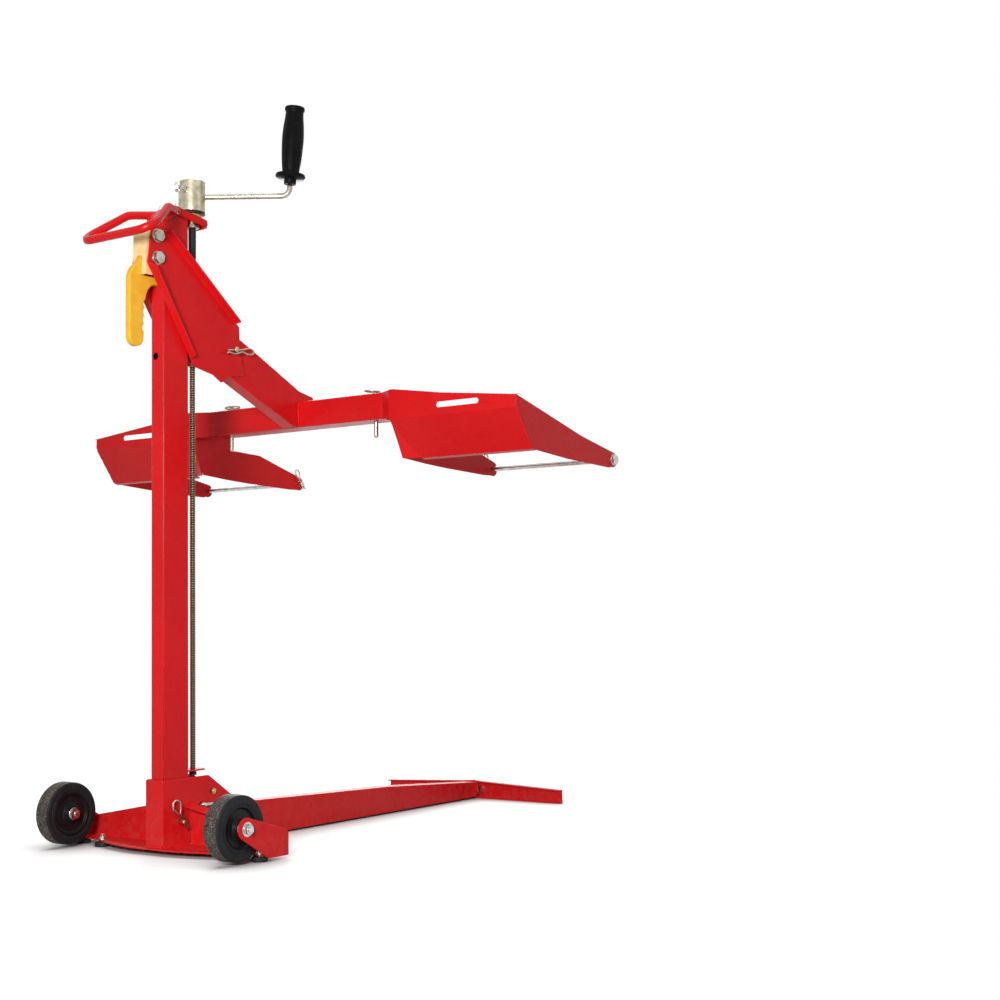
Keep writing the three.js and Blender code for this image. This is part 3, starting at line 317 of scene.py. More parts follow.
COAT = {
    "red": red_coat(),
    "mast": red_coat("mast_coat", inside_mast),
    "zinc": metal("zinc_plate", (0.52, 0.50, 0.43), (0.33, 0.30, 0.23), 0.33),
    "hub": metal("hub_zinc", (0.56, 0.50, 0.37), (0.34, 0.31, 0.23), 0.36),
    "yellow_zinc": metal("yellow_zinc", (0.58, 0.46, 0.26), (0.38, 0.27, 0.12), 0.36),
    "bright": metal("bright_steel", (0.66, 0.66, 0.65), (0.44, 0.43, 0.41), 0.22),
    "cream": metal("cream_bar", (1.0, 0.76, 0.38), (0.95, 0.68, 0.31), 0.45, metallic=0.1),
    "bronze": metal("bronze", (0.62, 0.34, 0.16), (0.42, 0.20, 0.08), 0.42),
    "thread": thread_steel(),
    "rubber": moulded("black_rubber", (0.020, 0.018, 0.017), (0.010, 0.010, 0.010), 0.62, scuff=0.25),
    "tyre_wall": moulded("tyre_wall", (0.018, 0.019, 0.021), (0.010, 0.010, 0.012), 0.46, scuff=0.05,
                         gloss=0.14),
    "tread": moulded("tyre_tread", (0.070, 0.060, 0.050), (0.026, 0.022, 0.019), 0.58, depth=0.0006,
                     scuff=0.9, worn=(0.46, 0.39, 0.32)),
    "core": moulded("wheel_core", (0.010, 0.010, 0.012), (0.005, 0.005, 0.006), 0.34, gloss=0.16),
    "plastic": moulded("black_plastic", (0.018, 0.018, 0.019), (0.010, 0.010, 0.011), 0.42),
    "grip": moulded("grip_plastic", (0.008, 0.0078, 0.0078), (0.004, 0.004, 0.0042), 0.36, grain=500.0,
                    gloss=0.05),
    "yellow": moulded("yellow_plastic", (1.0, 0.56, 0.045), (0.93, 0.47, 0.030), 0.42, grain=420.0),
}

# CAD nodes that stay, by material, each with the width that its sharp edges are rounded by
KEPT = {
    "red": {
        "base_plate": 0.7, "right_wing": 0.8, "left_wing": 0.8, "mast_socket": 2.6,
        "screw_foot_bracket": 0.8, "top_handle": 1.0, "leg_channel": 0.8, "leg_foot_bar": 0.8,
        "right_carriage_plate": 0.9, "left_carriage_plate": 0.9, "boom_tube": 0.8, "crossbar": 0.8,
        "right_tray": 0.8, "left_tray": 0.8,
    },
    "mast": {"mast": 0.5},
    "hub": {"crank_hub": 0.8},
    "bronze": {"top_bushing": 0.5},
    "zinc": {"thrust_nut": 0.5, "lift_nut": 0.8},
    "cream": {"latch_lever": 0.6},
    "yellow": {"latch_grip": 1.2},
    "plastic": {"screw_sleeve": 0.5, "thrust_washer": 0.5, "slide_pad": 0.8, "screw_end_cap": 0.8,
                "upper_roller": 0.8, "lower_roller": 0.8},
}


def soften(made, width):
    """Cleans the triangles of flat faces and rounds the sharp edges of a CAD node."""
    weld = made.modifiers.new("weld", "WELD")
    weld.merge_threshold = 0.01 * MM
    flat = made.modifiers.new("flat", "DECIMATE")
    flat.decimate_type = "DISSOLVE"
    flat.angle_limit = math.radians(0.4)
    made.modifiers.new("triangles", "TRIANGULATE").ngon_method = "BEAUTY"
    edge = made.modifiers.new("edges", "BEVEL")
    edge.width = width * MM
    edge.segments = 3
    edge.limit_method = "ANGLE"
    edge.angle_limit = math.radians(34)
    edge.use_clamp_overlap = False
    edge.miter_outer = "MITER_SHARP"
    normals = made.modifiers.new("normals", "WEIGHTED_NORMAL")
    normals.mode = "FACE_AREA_WITH_ANGLE"
    normals.weight = 90


for coat, widths in KEPT.items():
    for name, width in widths.items():
        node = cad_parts[name]
        node.data.materials.clear()
        node.data.materials.append(COAT[coat])
        if "custom_normal" in node.data.attributes:
            node.data.attributes.remove(node.data.attributes["custom_normal"])
        node.data.shade_smooth()
        soften(node, width)

# Finer pieces


def finish_mesh(name, vertices, faces, coat, body, replaces, second=None, sharp=40):
    """A piece from millimetre vertices and faces; second is a further coat and the faces that it covers."""
    mesh = bpy.data.meshes.new(name)
    mesh.from_pydata([row(v) for v in vertices], [], faces)
    mesh.materials.append(COAT[coat])
    if second:
        second_coat, covered = second
        mesh.materials.append(COAT[second_coat])
        for face in covered:
            mesh.polygons[face].material_index = 1
    shape = bmesh.new()
    shape.from_mesh(mesh)
    bmesh.ops.recalc_face_normals(shape, faces=shape.faces)
    shape.to_mesh(mesh)
    shape.free()
    mesh.shade_smooth()
    mesh.set_sharp_from_angle(angle=math.radians(sharp))
    made = bpy.data.objects.new(name, mesh)
    bpy.context.scene.collection.objects.link(made)
    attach(made, body)
    if replaces:
        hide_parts(*replaces)


def on_axis(axis, radius, angle, height):
    """A place on a turned piece: the angle starts sideways and the height runs along the axis."""
    a, b = radius * math.cos(angle), radius * math.sin(angle)
    return {"x": (height, a, b), "y": (b, height, a), "z": (a, b, height)}[axis]


def off_axis(axis, a, b):
    """The place of an axis, from its two coordinates across it."""
    return {"x": (0, a, b), "y": (a, 0, b), "z": (a, b, 0)}[axis]


def moved(vertices, offset):
    return [tuple(c + o for c, o in zip(v, offset)) for v in vertices]


def rounded(profile, radius):
    """The corners of an open profile, each cut back and bowed by up to the radius."""
    steps = 3
    out = [profile[0]]
    for before, corner, after in zip(profile, profile[1:], profile[2:]):
        c, p, q = Vector(corner), Vector(before), Vector(after)
        reach = min(radius, (p - c).length * 0.45, (q - c).length * 0.45)
        start, end = c + (p - c).normalized() * reach, c + (q - c).normalized() * reach
        for k in range(steps + 1):
            t = k / steps
            out.append(tuple(start * (1 - t) ** 2 + c * 2 * t * (1 - t) + end * t * t))
    out.append(profile[-1])
    return out


def lathe_data(axis, profile, centre, sides, swell=None, closed=False):
    """Vertices and faces of a profile of (radius, height) turned round an axis; its ends lie on the axis
    where their radius is 0. swell(angle, height) scales the radius; closed joins the profile's ends."""
    vertices, rings = [], []
    for radius, height in profile:
        if radius < 1e-6:
            rings.append([len(vertices)])
            vertices.append(on_axis(axis, 0, 0, height))
            continue
        rings.append(list(range(len(vertices), len(vertices) + sides)))
        for k in range(sides):
            angle = 2 * math.pi * k / sides
            scale = swell(angle, height) if swell else 1
            vertices.append(on_axis(axis, radius * scale, angle, height))
    faces = []
    pairs = list(zip(rings, rings[1:]))
    if closed:
        pairs.append((rings[-1], rings[0]))
    for lower, upper in pairs:
        for k in range(sides):
            j = (k + 1) % sides
            if len(lower) == 1 and len(upper) == 1:
                continue
            if len(lower) == 1:
                faces.append((lower[0], upper[k], upper[j]))
            elif len(upper) == 1:
                faces.append((lower[k], upper[0], lower[j]))
            else:
                faces.append((lower[k], upper[k], upper[j], lower[j]))
    return moved(vertices, centre), faces


def tube_data(points, radius, sides):
    """Vertices and faces of a round wire along points, closed by flat ends; radius may be a function."""
    points = [Vector(p) for p in points]
    vertices, faces = [], []
    ahead = (points[1] - points[0]).normalized()
    side = ahead.orthogonal().normalized()
    for i, point in enumerate(points):
        onward = points[min(i + 1, len(points) - 1)] - points[max(i - 1, 0)]
        onward.normalize()
        side = (side - onward * side.dot(onward)).normalized()
        over = onward.cross(side)
        size = radius(i / (len(points) - 1)) if callable(radius) else radius
        for k in range(sides):
            angle = 2 * math.pi * k / sides
            vertices.append(tuple(point + side * size * math.cos(angle) + over * size * math.sin(angle)))
    for i in range(len(points) - 1):
        for k in range(sides):
            j = (k + 1) % sides
            faces.append((i * sides + k, i * sides + j, (i + 1) * sides + j, (i + 1) * sides + k))
    faces.append(tuple(reversed(range(sides))))
    faces.append(tuple(range((len(points) - 1) * sides, len(points) * sides)))
    return vertices, faces


def hexagon_data(axis, a, b, across, start, end, chamfer=0.9, turn=0.0):
    """A hexagon bolt head or nut without a hole; across is half its width between flats, and the
    corners are turned off at both ends."""
    step = math.copysign(chamfer, end - start)
    corner = across / math.cos(math.pi / 6)
    turned_off = 0.93 * corner
    sides = 36
    vertices, faces = [], []
    rings = ((start, turned_off), (start + step, corner), (end - step, corner), (end, turned_off))
    for height, limit in rings:
        for k in range(sides):
            angle = 2 * math.pi * k / sides
            local = (angle + turn) % (math.pi / 3) - math.pi / 6
            vertices.append(on_axis(axis, min(across / math.cos(local), limit), angle, height))
    for i in range(len(rings) - 1):
        for k in range(sides):
            j = (k + 1) % sides
            faces.append((i * sides + k, (i + 1) * sides + k, (i + 1) * sides + j, i * sides + j))
    faces.append(tuple(range(sides)))
    faces.append(tuple(reversed(range(3 * sides, 4 * sides))))
    return moved(vertices, off_axis(axis, a, b)), faces


def thread_data(axis, centre, start, end, major, minor, pitch, per_turn=20):
    """A helical thread without ends: each turn is a root, a flank, a crest and a flank."""
    shape = [(0.0, minor), (0.25, minor), (0.42, major), (0.68, major), (0.85, minor)]
    steps = int((end - start) / pitch * per_turn)
    vertices, faces = [], []
    count = len(shape)
    for i in range(steps + 1):
        angle = 2 * math.pi * i / per_turn
        base = start + pitch * i / per_turn
        for share, radius in shape:
            height = min(max(base + (share - 0.5) * pitch, start), end)
            vertices.append(on_axis(axis, radius, angle, height))
    for i in range(steps):
        for k in range(count - 1):
            faces.append((i * count + k, i * count + k + 1, (i + 1) * count + k + 1, (i + 1) * count + k))
    for i in range(steps - per_turn):
        a, b = i * count + count - 1, (i + 1) * count + count - 1
        c, d = (i + 1 + per_turn) * count, (i + per_turn) * count
        faces.append((a, d, c, b))
    return moved(vertices, centre), faces


def merged(*parts):
    """Several (vertices, faces) as one."""
    vertices, faces = [], []
    for more_vertices, more_faces in parts:
        base = len(vertices)
        vertices.extend(more_vertices)
        faces.extend(tuple(index + base for index in face) for face in more_faces)
    return vertices, faces


def add_piece(name, parts, coat, body, replaces=(), sharp=40):
    finish_mesh(name, *merged(*parts), coat, body, replaces, sharp=sharp)


def rod_data(axis, a, b, radius, start, end, round_end=0.8, sides=32):
    """A round bar with softened ends."""
    step = math.copysign(round_end, end - start)
    profile = [(0, start), (radius - round_end, start), (radius, start + step), (radius, end - step),
               (radius - round_end, end), (0, end)]
    return lathe_data(axis, profile, off_axis(axis, a, b), sides)


def washer_data(axis, a, b, outer, start, end):
    return rod_data(axis, a, b, outer, start, end, 0.4, 40)


def sided(sign, data):
    """The same vertices on the other side of the lift where sign is -1."""
    vertices, faces = data
    return [(x * sign, y, z) for x, y, z in vertices], faces


def on_screw(data, turn=CRANK["turn"]):
    """Vertices given from the lead screw's axis, turned about it by an angle in degrees."""
    vertices, faces = data
    c, s = math.cos(math.radians(turn)), math.sin(math.radians(turn))
    return [(x * c - y * s, x * s + y * c + SCREW["y"], z) for x, y, z in vertices], faces


def bend(corners, radius, steps=8):
    """The points of a bent line whose corners are rounded with one radius."""
    points = [Vector(c) for c in corners]
    route = [points[0]]
    for before, corner, after in zip(points, points[1:], points[2:]):
        a, b = (corner - before).normalized(), (after - corner).normalized()
        half = a.angle(b) / 2
        start = corner - a * radius * math.tan(half)
        centre = corner + (b - a).normalized() * radius / math.cos(half)
        spoke = start - centre
        for k in range(steps + 1):
            angle = 2 * half * k / steps
            route.append(centre + spoke * math.cos(angle) + a * radius * math.sin(angle))
    route.append(points[-1])
    return route


def through(points, per_span):
    """A smooth curve through points."""
    points = [Vector(p) for p in points]
    padded = [points[0] * 2 - points[1], *points, points[-1] * 2 - points[-2]]
    out = []
    for p0, p1, p2, p3 in zip(padded, padded[1:], padded[2:], padded[3:]):
        for k in range(per_span):
            t = k / per_span
            out.append(0.5 * (2 * p1 + (p2 - p0) * t + (2 * p0 - 5 * p1 + 4 * p2 - p3) * t * t
                              + (3 * p1 - p0 - 3 * p2 + p3) * t ** 3))
    out.append(points[-1])
    return out


def tapered(radius, cut):
    """A wire's radius that closes in over a share of its length at both ends."""
    def size(t):
        near = min(t, 1 - t) / cut
        return radius * (0.55 + 0.45 * math.sqrt(max(0.0, 1 - (1 - min(near, 1)) ** 2)))
    return size


# Wheels: a ribbed tyre on a dished core, and the bolt, washers, sleeve and nuts that carry them


def tyre_profile():
    """A side wall, a shoulder and a grooved tread, and the same again on the other half."""
    half, outside = WHEEL["width"] / 2, WHEEL["radius"]
    groove_at, groove_half, groove_depth, lip = 8.6, 0.9, 1.1, 0.3
    drop, inward, steps = 3.2, 5.0, 6
    side = [(WHEEL["rim"], half - 1.2), (49, half - 1.0), (50, half - 0.1), (52, half - 0.1),
            (52.8, half - 0.8), (55.5, half - 0.6), (58.4, half - 0.5)]
    shoulder = [(outside - drop + drop * math.sin(a), half - 0.5 - inward * (1 - math.cos(a)))
                for a in (math.pi / 2 * k / steps for k in range(1, steps + 1))]
    rib = [(outside, groove_at + groove_half + lip), (outside - lip, groove_at + groove_half),
           (outside - groove_depth, groove_at + groove_half - lip),
           (outside - groove_depth, groove_at - groove_half + lip),
           (outside - lip, groove_at - groove_half), (outside, groove_at - groove_half - lip)]
    upper = side + shoulder + rib
    lower = [(radius, -height) for radius, height in reversed(upper)]
    return upper + [(outside, 0)] + lower


def core_profile():
    """A hub, a dished web and a rim, and the same again on the other half."""
    half, hub, rim = WHEEL["width"] / 2, WHEEL["hub_end"], WHEEL["rim"] - GAP
    upper = [(6.4, hub), (16.2, hub), (17.2, hub - 1), (19, half - 5), (21.5, half - 6.2), (35, half - 6.6),
             (38.5, half - 5.6), (40.4, half - 1.6), (41.6, half - 0.9), (rim - 0.6, half - 0.9),
             (rim, half - 1.5)]
    return upper + [(radius, -height) for radius, height in reversed(upper)]


def make_wheel(side, sign):
    centre = (WHEEL["x"], AXLE["y"], AXLE["z"])
    body = f"{side}_wheel"
    profile, sides = tyre_profile(), 96
    tread_depth, tread_half = 3, 16
    tread = [i for i, (radius, height) in enumerate(profile)
             if radius > WHEEL["radius"] - tread_depth and abs(height) < tread_half]
    tread_faces = [i * sides + k for i in tread[:-1] for k in range(sides)]
    tyre = sided(sign, lathe_data("x", profile, centre, sides, closed=True))
    finish_mesh(f"{side}_tyre_ribbed", *tyre, "tyre_wall", body, [f"{side}_tyre"], ("tread", tread_faces))
    core = sided(sign, lathe_data("x", rounded(core_profile(), 1.2), centre, 72, closed=True))
    finish_mesh(f"{side}_core_dished", *core, "core", body, [f"{side}_wheel_core"])


def make_axle(side, sign):
    """From the bolt's tip inside the wheel to the nut outside the base's tab."""
    y, z = AXLE["y"], AXLE["z"]
    tip = WHEEL["x"] - WHEEL["width"] / 2 - 14
    hub, tab = WHEEL["x"] + WHEEL["hub_end"], BASE["x"]
    add_piece(f"{side}_axle_hardware", [sided(sign, part) for part in (
        rod_data("x", y, z, AXLE["root"], tip, tip + 6, 0.9),
        thread_data("x", (0, y, z), tip + 0.4, tip + 4, AXLE["radius"], 5.2, 1.5),
        rod_data("x", y, z, AXLE["radius"], tip + 3, tab + 1),
        hexagon_data("x", y, z, AXLE["head"], tip + 2, tip + 8.6, turn=0.2),
        washer_data("x", y, z, 12.5, tip + 9, tip + 11.6),
        rod_data("x", y, z, AXLE["sleeve"], hub + GAP, tab - BASE["sheet"] - GAP, 0.5),
        washer_data("x", y, z, 14, hub + GAP, hub + 2.5),
        washer_data("x", y, z, AXLE["washer"], tab + SEAT, tab + 2.3),
        hexagon_data("x", y, z, AXLE["nut"], tab + 2.2, tab + 9.0, 1.2, turn=0.35),
        rod_data("x", y, z, AXLE["root"], tab + 8, tab + 12.5, 1.4),
    )], "bright", "base", [f"{side}_axle_bolt"])


for side, sign in SIDES:
    make_wheel(side, sign)
    make_axle(side, sign)

# Levelling feet: rubber pad, threaded stud, nut


def make_foot(name, x, y):
    sole, head, top = FLOOR_Z, BASE["bottom"] - GAP, BASE["top"]
    pad = [(0, sole), (FOOT["sole"], sole), (FOOT["pad"] - 0.2, sole + 0.9), (FOOT["pad"], sole + 2.6),
           (FOOT["pad"] - 0.8, head - 0.8), (FOOT["neck"], head), (0, head)]
    pad_data = lathe_data("z", rounded(pad, 0.7), (x, y, 0), 56)
    add_piece(f"{name}_pad", [pad_data], "rubber", "base", [f"{name}_foot"])
    add_piece(f"{name}_stud", [
        rod_data("z", x, y, FOOT["root"] + 0.1, head - 0.8, top + 12.6, 0.6),
        thread_data("z", (x, y, 0), head, top + 12.2, FOOT["stud"], FOOT["root"], 1.25, 16),
        washer_data("z", x, y, FOOT["washer"], top + SEAT, top + 1.3),
        hexagon_data("z", x, y, FOOT["nut"], top + 1.3, top + 7, turn=0.3),
    ], "zinc", "base")


for side, sign in SIDES:
    for place, (x, y) in PADS.items():
        make_foot(f"{side}_{place}", sign * x, y)

# Pins, clips and bolts of the base and the leg


def hairpin_data(x, y, z, turn, length, eye=6.5, wire=1.7):
    """A sprung wire clip: a straight leg through the pin, a round eye and a waved leg outside."""
    flat = [
        (-16, 0), (-5, 0), (14, 0), (22, 0.3 * eye), (30, 0.45 * eye), (37, -0.2 * eye), (38.5, -0.75 * eye),
        (36, -1.35 * eye), (29, -1.65 * eye), (21, -1.2 * eye), (14, -4.5), (7, -6.5), (0, -8.6), (-8, -6.5),
        (-14, -4.6), (-19, -7),
    ]
    c, s = math.cos(math.radians(turn)), math.sin(math.radians(turn))
    points = [(x, y + a * length * c - b * s, z + a * length * s + b * c) for a, b in flat]
    return tube_data(through(points, 7), tapered(wire, 0.02), 12)


def headed_pin_data(pin, plate_x):
    """A pin along x: its head is outside the left plate and its end is on the right."""
    return merged(rod_data("x", *pin["at"], pin["radius"], -plate_x - 1, pin["end"], 1.4),
                  rod_data("x", *pin["at"], pin["head"], -plate_x - 7, -plate_x - GAP, 1.0))


side_x = SOCKET["x"]
hitch_clip = hairpin_data(HITCH["end"] - CLIP_IN, *HITCH["at"], HITCH["clip_turn"], 1.3, 10, 2.1)
add_piece("hitch_pin_turned", [headed_pin_data(HITCH, side_x)], "yellow_zinc", "base", ["hitch_pin"])
add_piece("hitch_hairpin", [hitch_clip], "zinc", "base", ["hitch_pin_clip"])
stop_y, stop_z = STOP_PIN["y"], STOP_PIN["z"]
stop_route = bend([(-side_x - 8, stop_y, stop_z), (side_x + 6, stop_y, stop_z),
                   (side_x + 6, STOP_PIN["handle_y"], stop_z)], STOP_PIN["bend"])
add_piece("stop_pin_bent", [tube_data(stop_route, tapered(STOP_PIN["radius"], 0.03), 24)], "bright", "base",
          ["leg_stop_pin"])
add_piece("pivot_bolt_hardware", [
    rod_data("x", *LEG_PIVOT["at"], LEG_PIVOT["radius"], -side_x - 10, side_x + 6, 0.9),
    hexagon_data("x", *LEG_PIVOT["at"], LEG_PIVOT["nut"], side_x + GAP, side_x + 4.4, turn=0.5),
    hexagon_data("x", *LEG_PIVOT["at"], LEG_PIVOT["head"], -side_x - 7.6, -side_x - GAP),
], "yellow_zinc", "base", ["leg_pivot_bolt"])
bolt_at = FOOT_BAR_BOLT["at"]
add_piece("foot_bar_hardware", [
    rod_data("y", *bolt_at, FOOT_BAR_BOLT["radius"], FOOT_BAR_Y - 9, FOOT_BAR_Y + FOOT_BAR_SHEET, 0.9),
    hexagon_data("y", *bolt_at, FOOT_BAR_BOLT["head"], FOOT_BAR_Y - 10, FOOT_BAR_Y - 3.6, turn=0.2),
    washer_data("y", *bolt_at, FOOT_BAR_BOLT["washer"], FOOT_BAR_Y - 3.7, FOOT_BAR_Y - 3 - SEAT),
], "bright", "leg", ["foot_bar_bolt"])

# Lead screw, crank hub and crank arm

add_piece("lead_screw_threaded", [
    thread_data("z", (0, SCREW["y"], 0), SCREW["bottom"], SCREW["top"], SCREW["radius"], SCREW["root"],
                SCREW["lead"]),
    rod_data("z", 0, SCREW["y"], SCREW["core"], SCREW["bottom"] + 0.2, SCREW["top"] - 0.2, 0.5, 24),
], "thread", "screw", ["lead_screw"], sharp=50)

flat_x = HUB["flat_x"]
add_piece("hub_bolt_turned", [
    on_screw(hexagon_data("x", 0, HUB_BOLT["z"], HUB_BOLT["head"], flat_x - 4, flat_x - 11.5, 1.0, 0.2)),
    on_screw(rod_data("x", 0, HUB_BOLT["z"], HUB_BOLT["radius"], flat_x - 5, -9.5, 0.6)),
], "zinc", "screw", ["hub_bolt"])

hub_x = -HUB["radius"]
add_piece("hub_set_screw", [on_screw(part, CRANK["turn"] + SET_SCREW["turn"]) for part in (
    hexagon_data("x", 0, SET_SCREW["z"], SET_SCREW["head"], hub_x + 2, hub_x - 4, 0.9, 0.3),
    rod_data("x", 0, SET_SCREW["z"], SET_SCREW["radius"], hub_x + 1, hub_x - 7, 0.6),
)], "zinc", "screw")

lean = math.radians(CRANK["lean"])
arm_top = GRIP["top"] - 30
arm_shoulder = GRIP["bottom"] - 3
arm_route = bend([
    (12, 0, CRANK["z"]), (CRANK["reach"] - 1.5, 0, CRANK["z"]),
    (CRANK["reach"] + (arm_top - GRIP["bottom"]) * math.tan(lean), 0, arm_top),
], CRANK["bend"], 14)
# Two more points, because the rod is turned down to a spindle just under the grip
for rise in (0.0, 1.0):
    share = (arm_shoulder + rise - arm_route[-2][2]) / (arm_route[-1][2] - arm_route[-2][2])
    arm_route.insert(-1, tuple(a + share * (b - a) for a, b in zip(arm_route[-2], arm_route[-1])))


def arm_size(t):
    height = arm_route[round(t * (len(arm_route) - 1))][2]
    return CRANK["rod"] if height < arm_shoulder + 0.5 else CRANK["spindle"]


add_piece("crank_arm_bent", [on_screw(tube_data(arm_route, arm_size, 32))], "zinc", "screw", ["crank_arm"])

# Crank grip


def grip_profile():
    """A flange, a body that swells upwards and a cap, from the grip's foot."""
    height = GRIP["top"] - GRIP["bottom"]
    flange = [(GRIP["bore"], 0), (12.4, 0), (13, 0.8), (13, 11.2), (14.5, 12.4), (29.5, 13.6), (31.8, 15.6),
              (32, 18.6), (31, 21.2), (24, 22.6), (19, 23.8)]
    body = through([(18.0, 26, 0), (20.4, 45, 0), (22.2, 68, 0), (23.4, 98, 0), (22.4, 122, 0),
                    (20.0, 145, 0), (19.0, height - 11, 0)], 6)
    cap = [(20.6, height - 8.4), (21.5, height - 7), (21.5, height - 2.4), (20.4, height - 0.5),
           (18.5, height), (16, height - 0.4), (14, height - 1.6), (0, height - 1.8)]
    return flange + [(point.x, point.y) for point in body] + cap


def grip_swell(angle, height):
    """Shallow flutes down the grip's body."""
    start, end, run_out = 30, 153, 12
    if not start < height < end:
        return 1
    fade = min(1, (height - start) / run_out, (end - height) / run_out)
    return 1 - GRIP["flute_depth"] * fade * max(0, math.cos(GRIP["flutes"] * angle)) ** 3


def lean_over(data):
    """A grip made upright at the origin, tipped outwards and set on the arm's end."""
    vertices, faces = data
    c, s = math.cos(lean), math.sin(lean)
    reach, bottom = CRANK["reach"], GRIP["bottom"]
    return [(x * c + z * s + reach, y, z * c - x * s + bottom) for x, y, z in vertices], faces


grip_data = lathe_data("z", grip_profile(), (0, 0, 0), 128, grip_swell)
add_piece("crank_grip_fluted", [on_screw(lean_over(grip_data))], "grip", "grip", ["crank_grip"])

# Carriage hardware

washer_end, head_end = CARRIAGE_X + 2.4, CARRIAGE_X + 10
for place, (y, z) in ROLLER_BOLTS.items():
    turn = 0.15 if place == "upper" else 0.7
    add_piece(f"{place}_bolt_hardware", [
        rod_data("x", y, z, ROLLER_BOLT["radius"], -CARRIAGE_X - 12.5, CARRIAGE_X + 2, 0.9),
        washer_data("x", y, z, ROLLER_BOLT["washer"], CARRIAGE_X + SEAT, washer_end),
        hexagon_data("x", y, z, ROLLER_BOLT["head"], washer_end, head_end, 1.2, turn),
        washer_data("x", y, z, ROLLER_BOLT["washer"], -washer_end, -CARRIAGE_X - SEAT),
        hexagon_data("x", y, z, ROLLER_BOLT["nut"], -head_end, -washer_end, 1.2, turn),
    ], "zinc", "carriage", [f"{place}_roller_bolt"])

boom_clip = hairpin_data(BOOM_PIN["end"] - CLIP_IN, *BOOM_PIN["at"], BOOM_PIN["clip_turn"], 1.45)
add_piece("boom_pin_turned", [headed_pin_data(BOOM_PIN, CARRIAGE_X)], "yellow_zinc", "carriage",
          ["boom_pin"])
add_piece("boom_hairpin", [boom_clip], "zinc", "carriage", ["boom_pin_clip"])

# Lock pins with their pull rings


def lock_pin_profile():
    """A shank with a rounded tip, a collar on the crossbar and a head above it."""
    tip, top = LOCK_PIN["tip"], CROSSBAR["top"]
    radius, collar = LOCK_PIN["radius"], LOCK_PIN["collar"]
    return [(0, tip), (2.8, tip), (4.4, tip + 2), (radius, tip + 5), (radius, top + 0.4),
            (collar - 0.8, top + 0.4), (collar, top + 1.2), (collar, top + 3.4), (collar - 0.8, top + 4.2),
            (radius, top + 4.2), (radius, top + 10), (3.8, top + 11.6), (0, top + 11.6)]


def pull_ring_data():
    """A round wire ring through the pin's head, tipped up over the middle of the crossbar."""
    steps, radius = PULL_RING["steps"], PULL_RING["radius"]
    points = []
    for k in range(steps):
        angle = 2 * math.pi * k / steps
        points.append((
            LOCK_PIN["x"] + PULL_RING["out_x"] + radius * math.cos(angle),
            LOCK_PIN["y"] + PULL_RING["out_y"] + radius * math.sin(angle),
            CROSSBAR["top"] + PULL_RING["above"] - PULL_RING["rise"] * math.cos(angle),
        ))
    return tube_data(points + points[:2], PULL_RING["wire"], 14)


lock_pin = lathe_data("z", rounded(lock_pin_profile(), 0.5), (LOCK_PIN["x"], LOCK_PIN["y"], 0), 40)
for side, sign in SIDES:
    parts = [sided(sign, lock_pin), sided(sign, pull_ring_data())]
    add_piece(f"{side}_lock_pin_turned", parts, "zinc", f"{side}_lock", [f"{side}_lock_pin"])

# Tray rods and their clips

rod_at, outer_x = TRAY_ROD["at"], TRAY["outer"]
for side, sign in SIDES:
    add_piece(f"{side}_rod_hardware", [sided(sign, part) for part in (
        rod_data("x", *rod_at, TRAY_ROD["radius"], TRAY_ROD["end"], outer_x + 1, 1.2),
        washer_data("x", *rod_at, TRAY_ROD["washer"], outer_x + SEAT, outer_x + 2.2),
        hexagon_data("x", *rod_at, TRAY_ROD["nut"], outer_x + 2.2, outer_x + 8, 1.1, 0.3),
    )], "bright", f"{side}_tray", [f"{side}_tray_rod"])
    clip = hairpin_data(TRAY_ROD["end"] + CLIP_IN, *rod_at, TRAY_ROD["clip_turn"], 1.0)
    add_piece(f"{side}_rod_hairpin", [sided(sign, clip)], "zinc", f"{side}_tray", [f"{side}_rod_clip"])

# Weld beads, painted over. The seed is fixed, because the noise otherwise changes from run to run.

noise.seed_set(1)


def bead_data(start, end, radius):
    """A weld bead along a straight seam: overlapping ripples of slightly uneven size."""
    start, end = Vector(start), Vector(end)
    length = (end - start).length
    step, ripple_length = 1.2, 4.2
    steps = max(6, int(length / step))
    points = []
    for k in range(steps + 1):
        t = k / steps
        wobble = noise.noise_vector(start * 0.1 + Vector((t * length * 0.09, 3.1, 7.7)))
        points.append(start.lerp(end, t) + wobble * 0.5 * radius * min(1, 6 * t, 6 * (1 - t)))

    def size(t):
        ripple = abs(math.sin(math.pi * t * length / ripple_length))
        ends = min(1.0, 0.45 + min(t, 1 - t) * length / 5)
        return radius * (0.80 + 0.24 * ripple) * ends
    return tube_data(points, size, 10)


def seams(name, body, radius, lines):
    add_piece(name, [bead_data(a, b, radius) for a, b in lines], "red", body, sharp=70)


plate_y, boom_z = CROSSBAR["near"] - 0.8, CROSSBAR["top"] + 26
seams("carriage_welds", "carriage", 2.3, [
    ((21, plate_y, 910), (21, plate_y, 960)),
    ((-21, plate_y, 910), (-21, plate_y, 960)),
    ((-18, CROSSBAR["near"], boom_z), (18, CROSSBAR["near"], boom_z)),
])
edge_x, edge_y = -TRAY["inner"] + 5, TRAY["near"] + 0.1
seams("left_tray_edge_weld", "left_tray", 1.7, [((edge_x, edge_y, 906), (edge_x, edge_y, 954))])
for side, sign in SIDES:
    wall_x = sign * (outer_x - SEAM)
    seams(f"{side}_tray_welds", f"{side}_tray", 1.9, [
        ((wall_x, TRAY["near"], 897), (wall_x, TRAY["near"], 920)),
        ((wall_x, TRAY["near"] + 0.9, 894.5), (wall_x, TRAY["near"] + 55.9, 815)),
    ])
bar_y = FOOT_BAR_Y - 15.5
seams("leg_welds", "leg", 2.2, [((20, bar_y, 6), (20, bar_y, 34)), ((-20, bar_y, 6), (-20, bar_y, 34))])
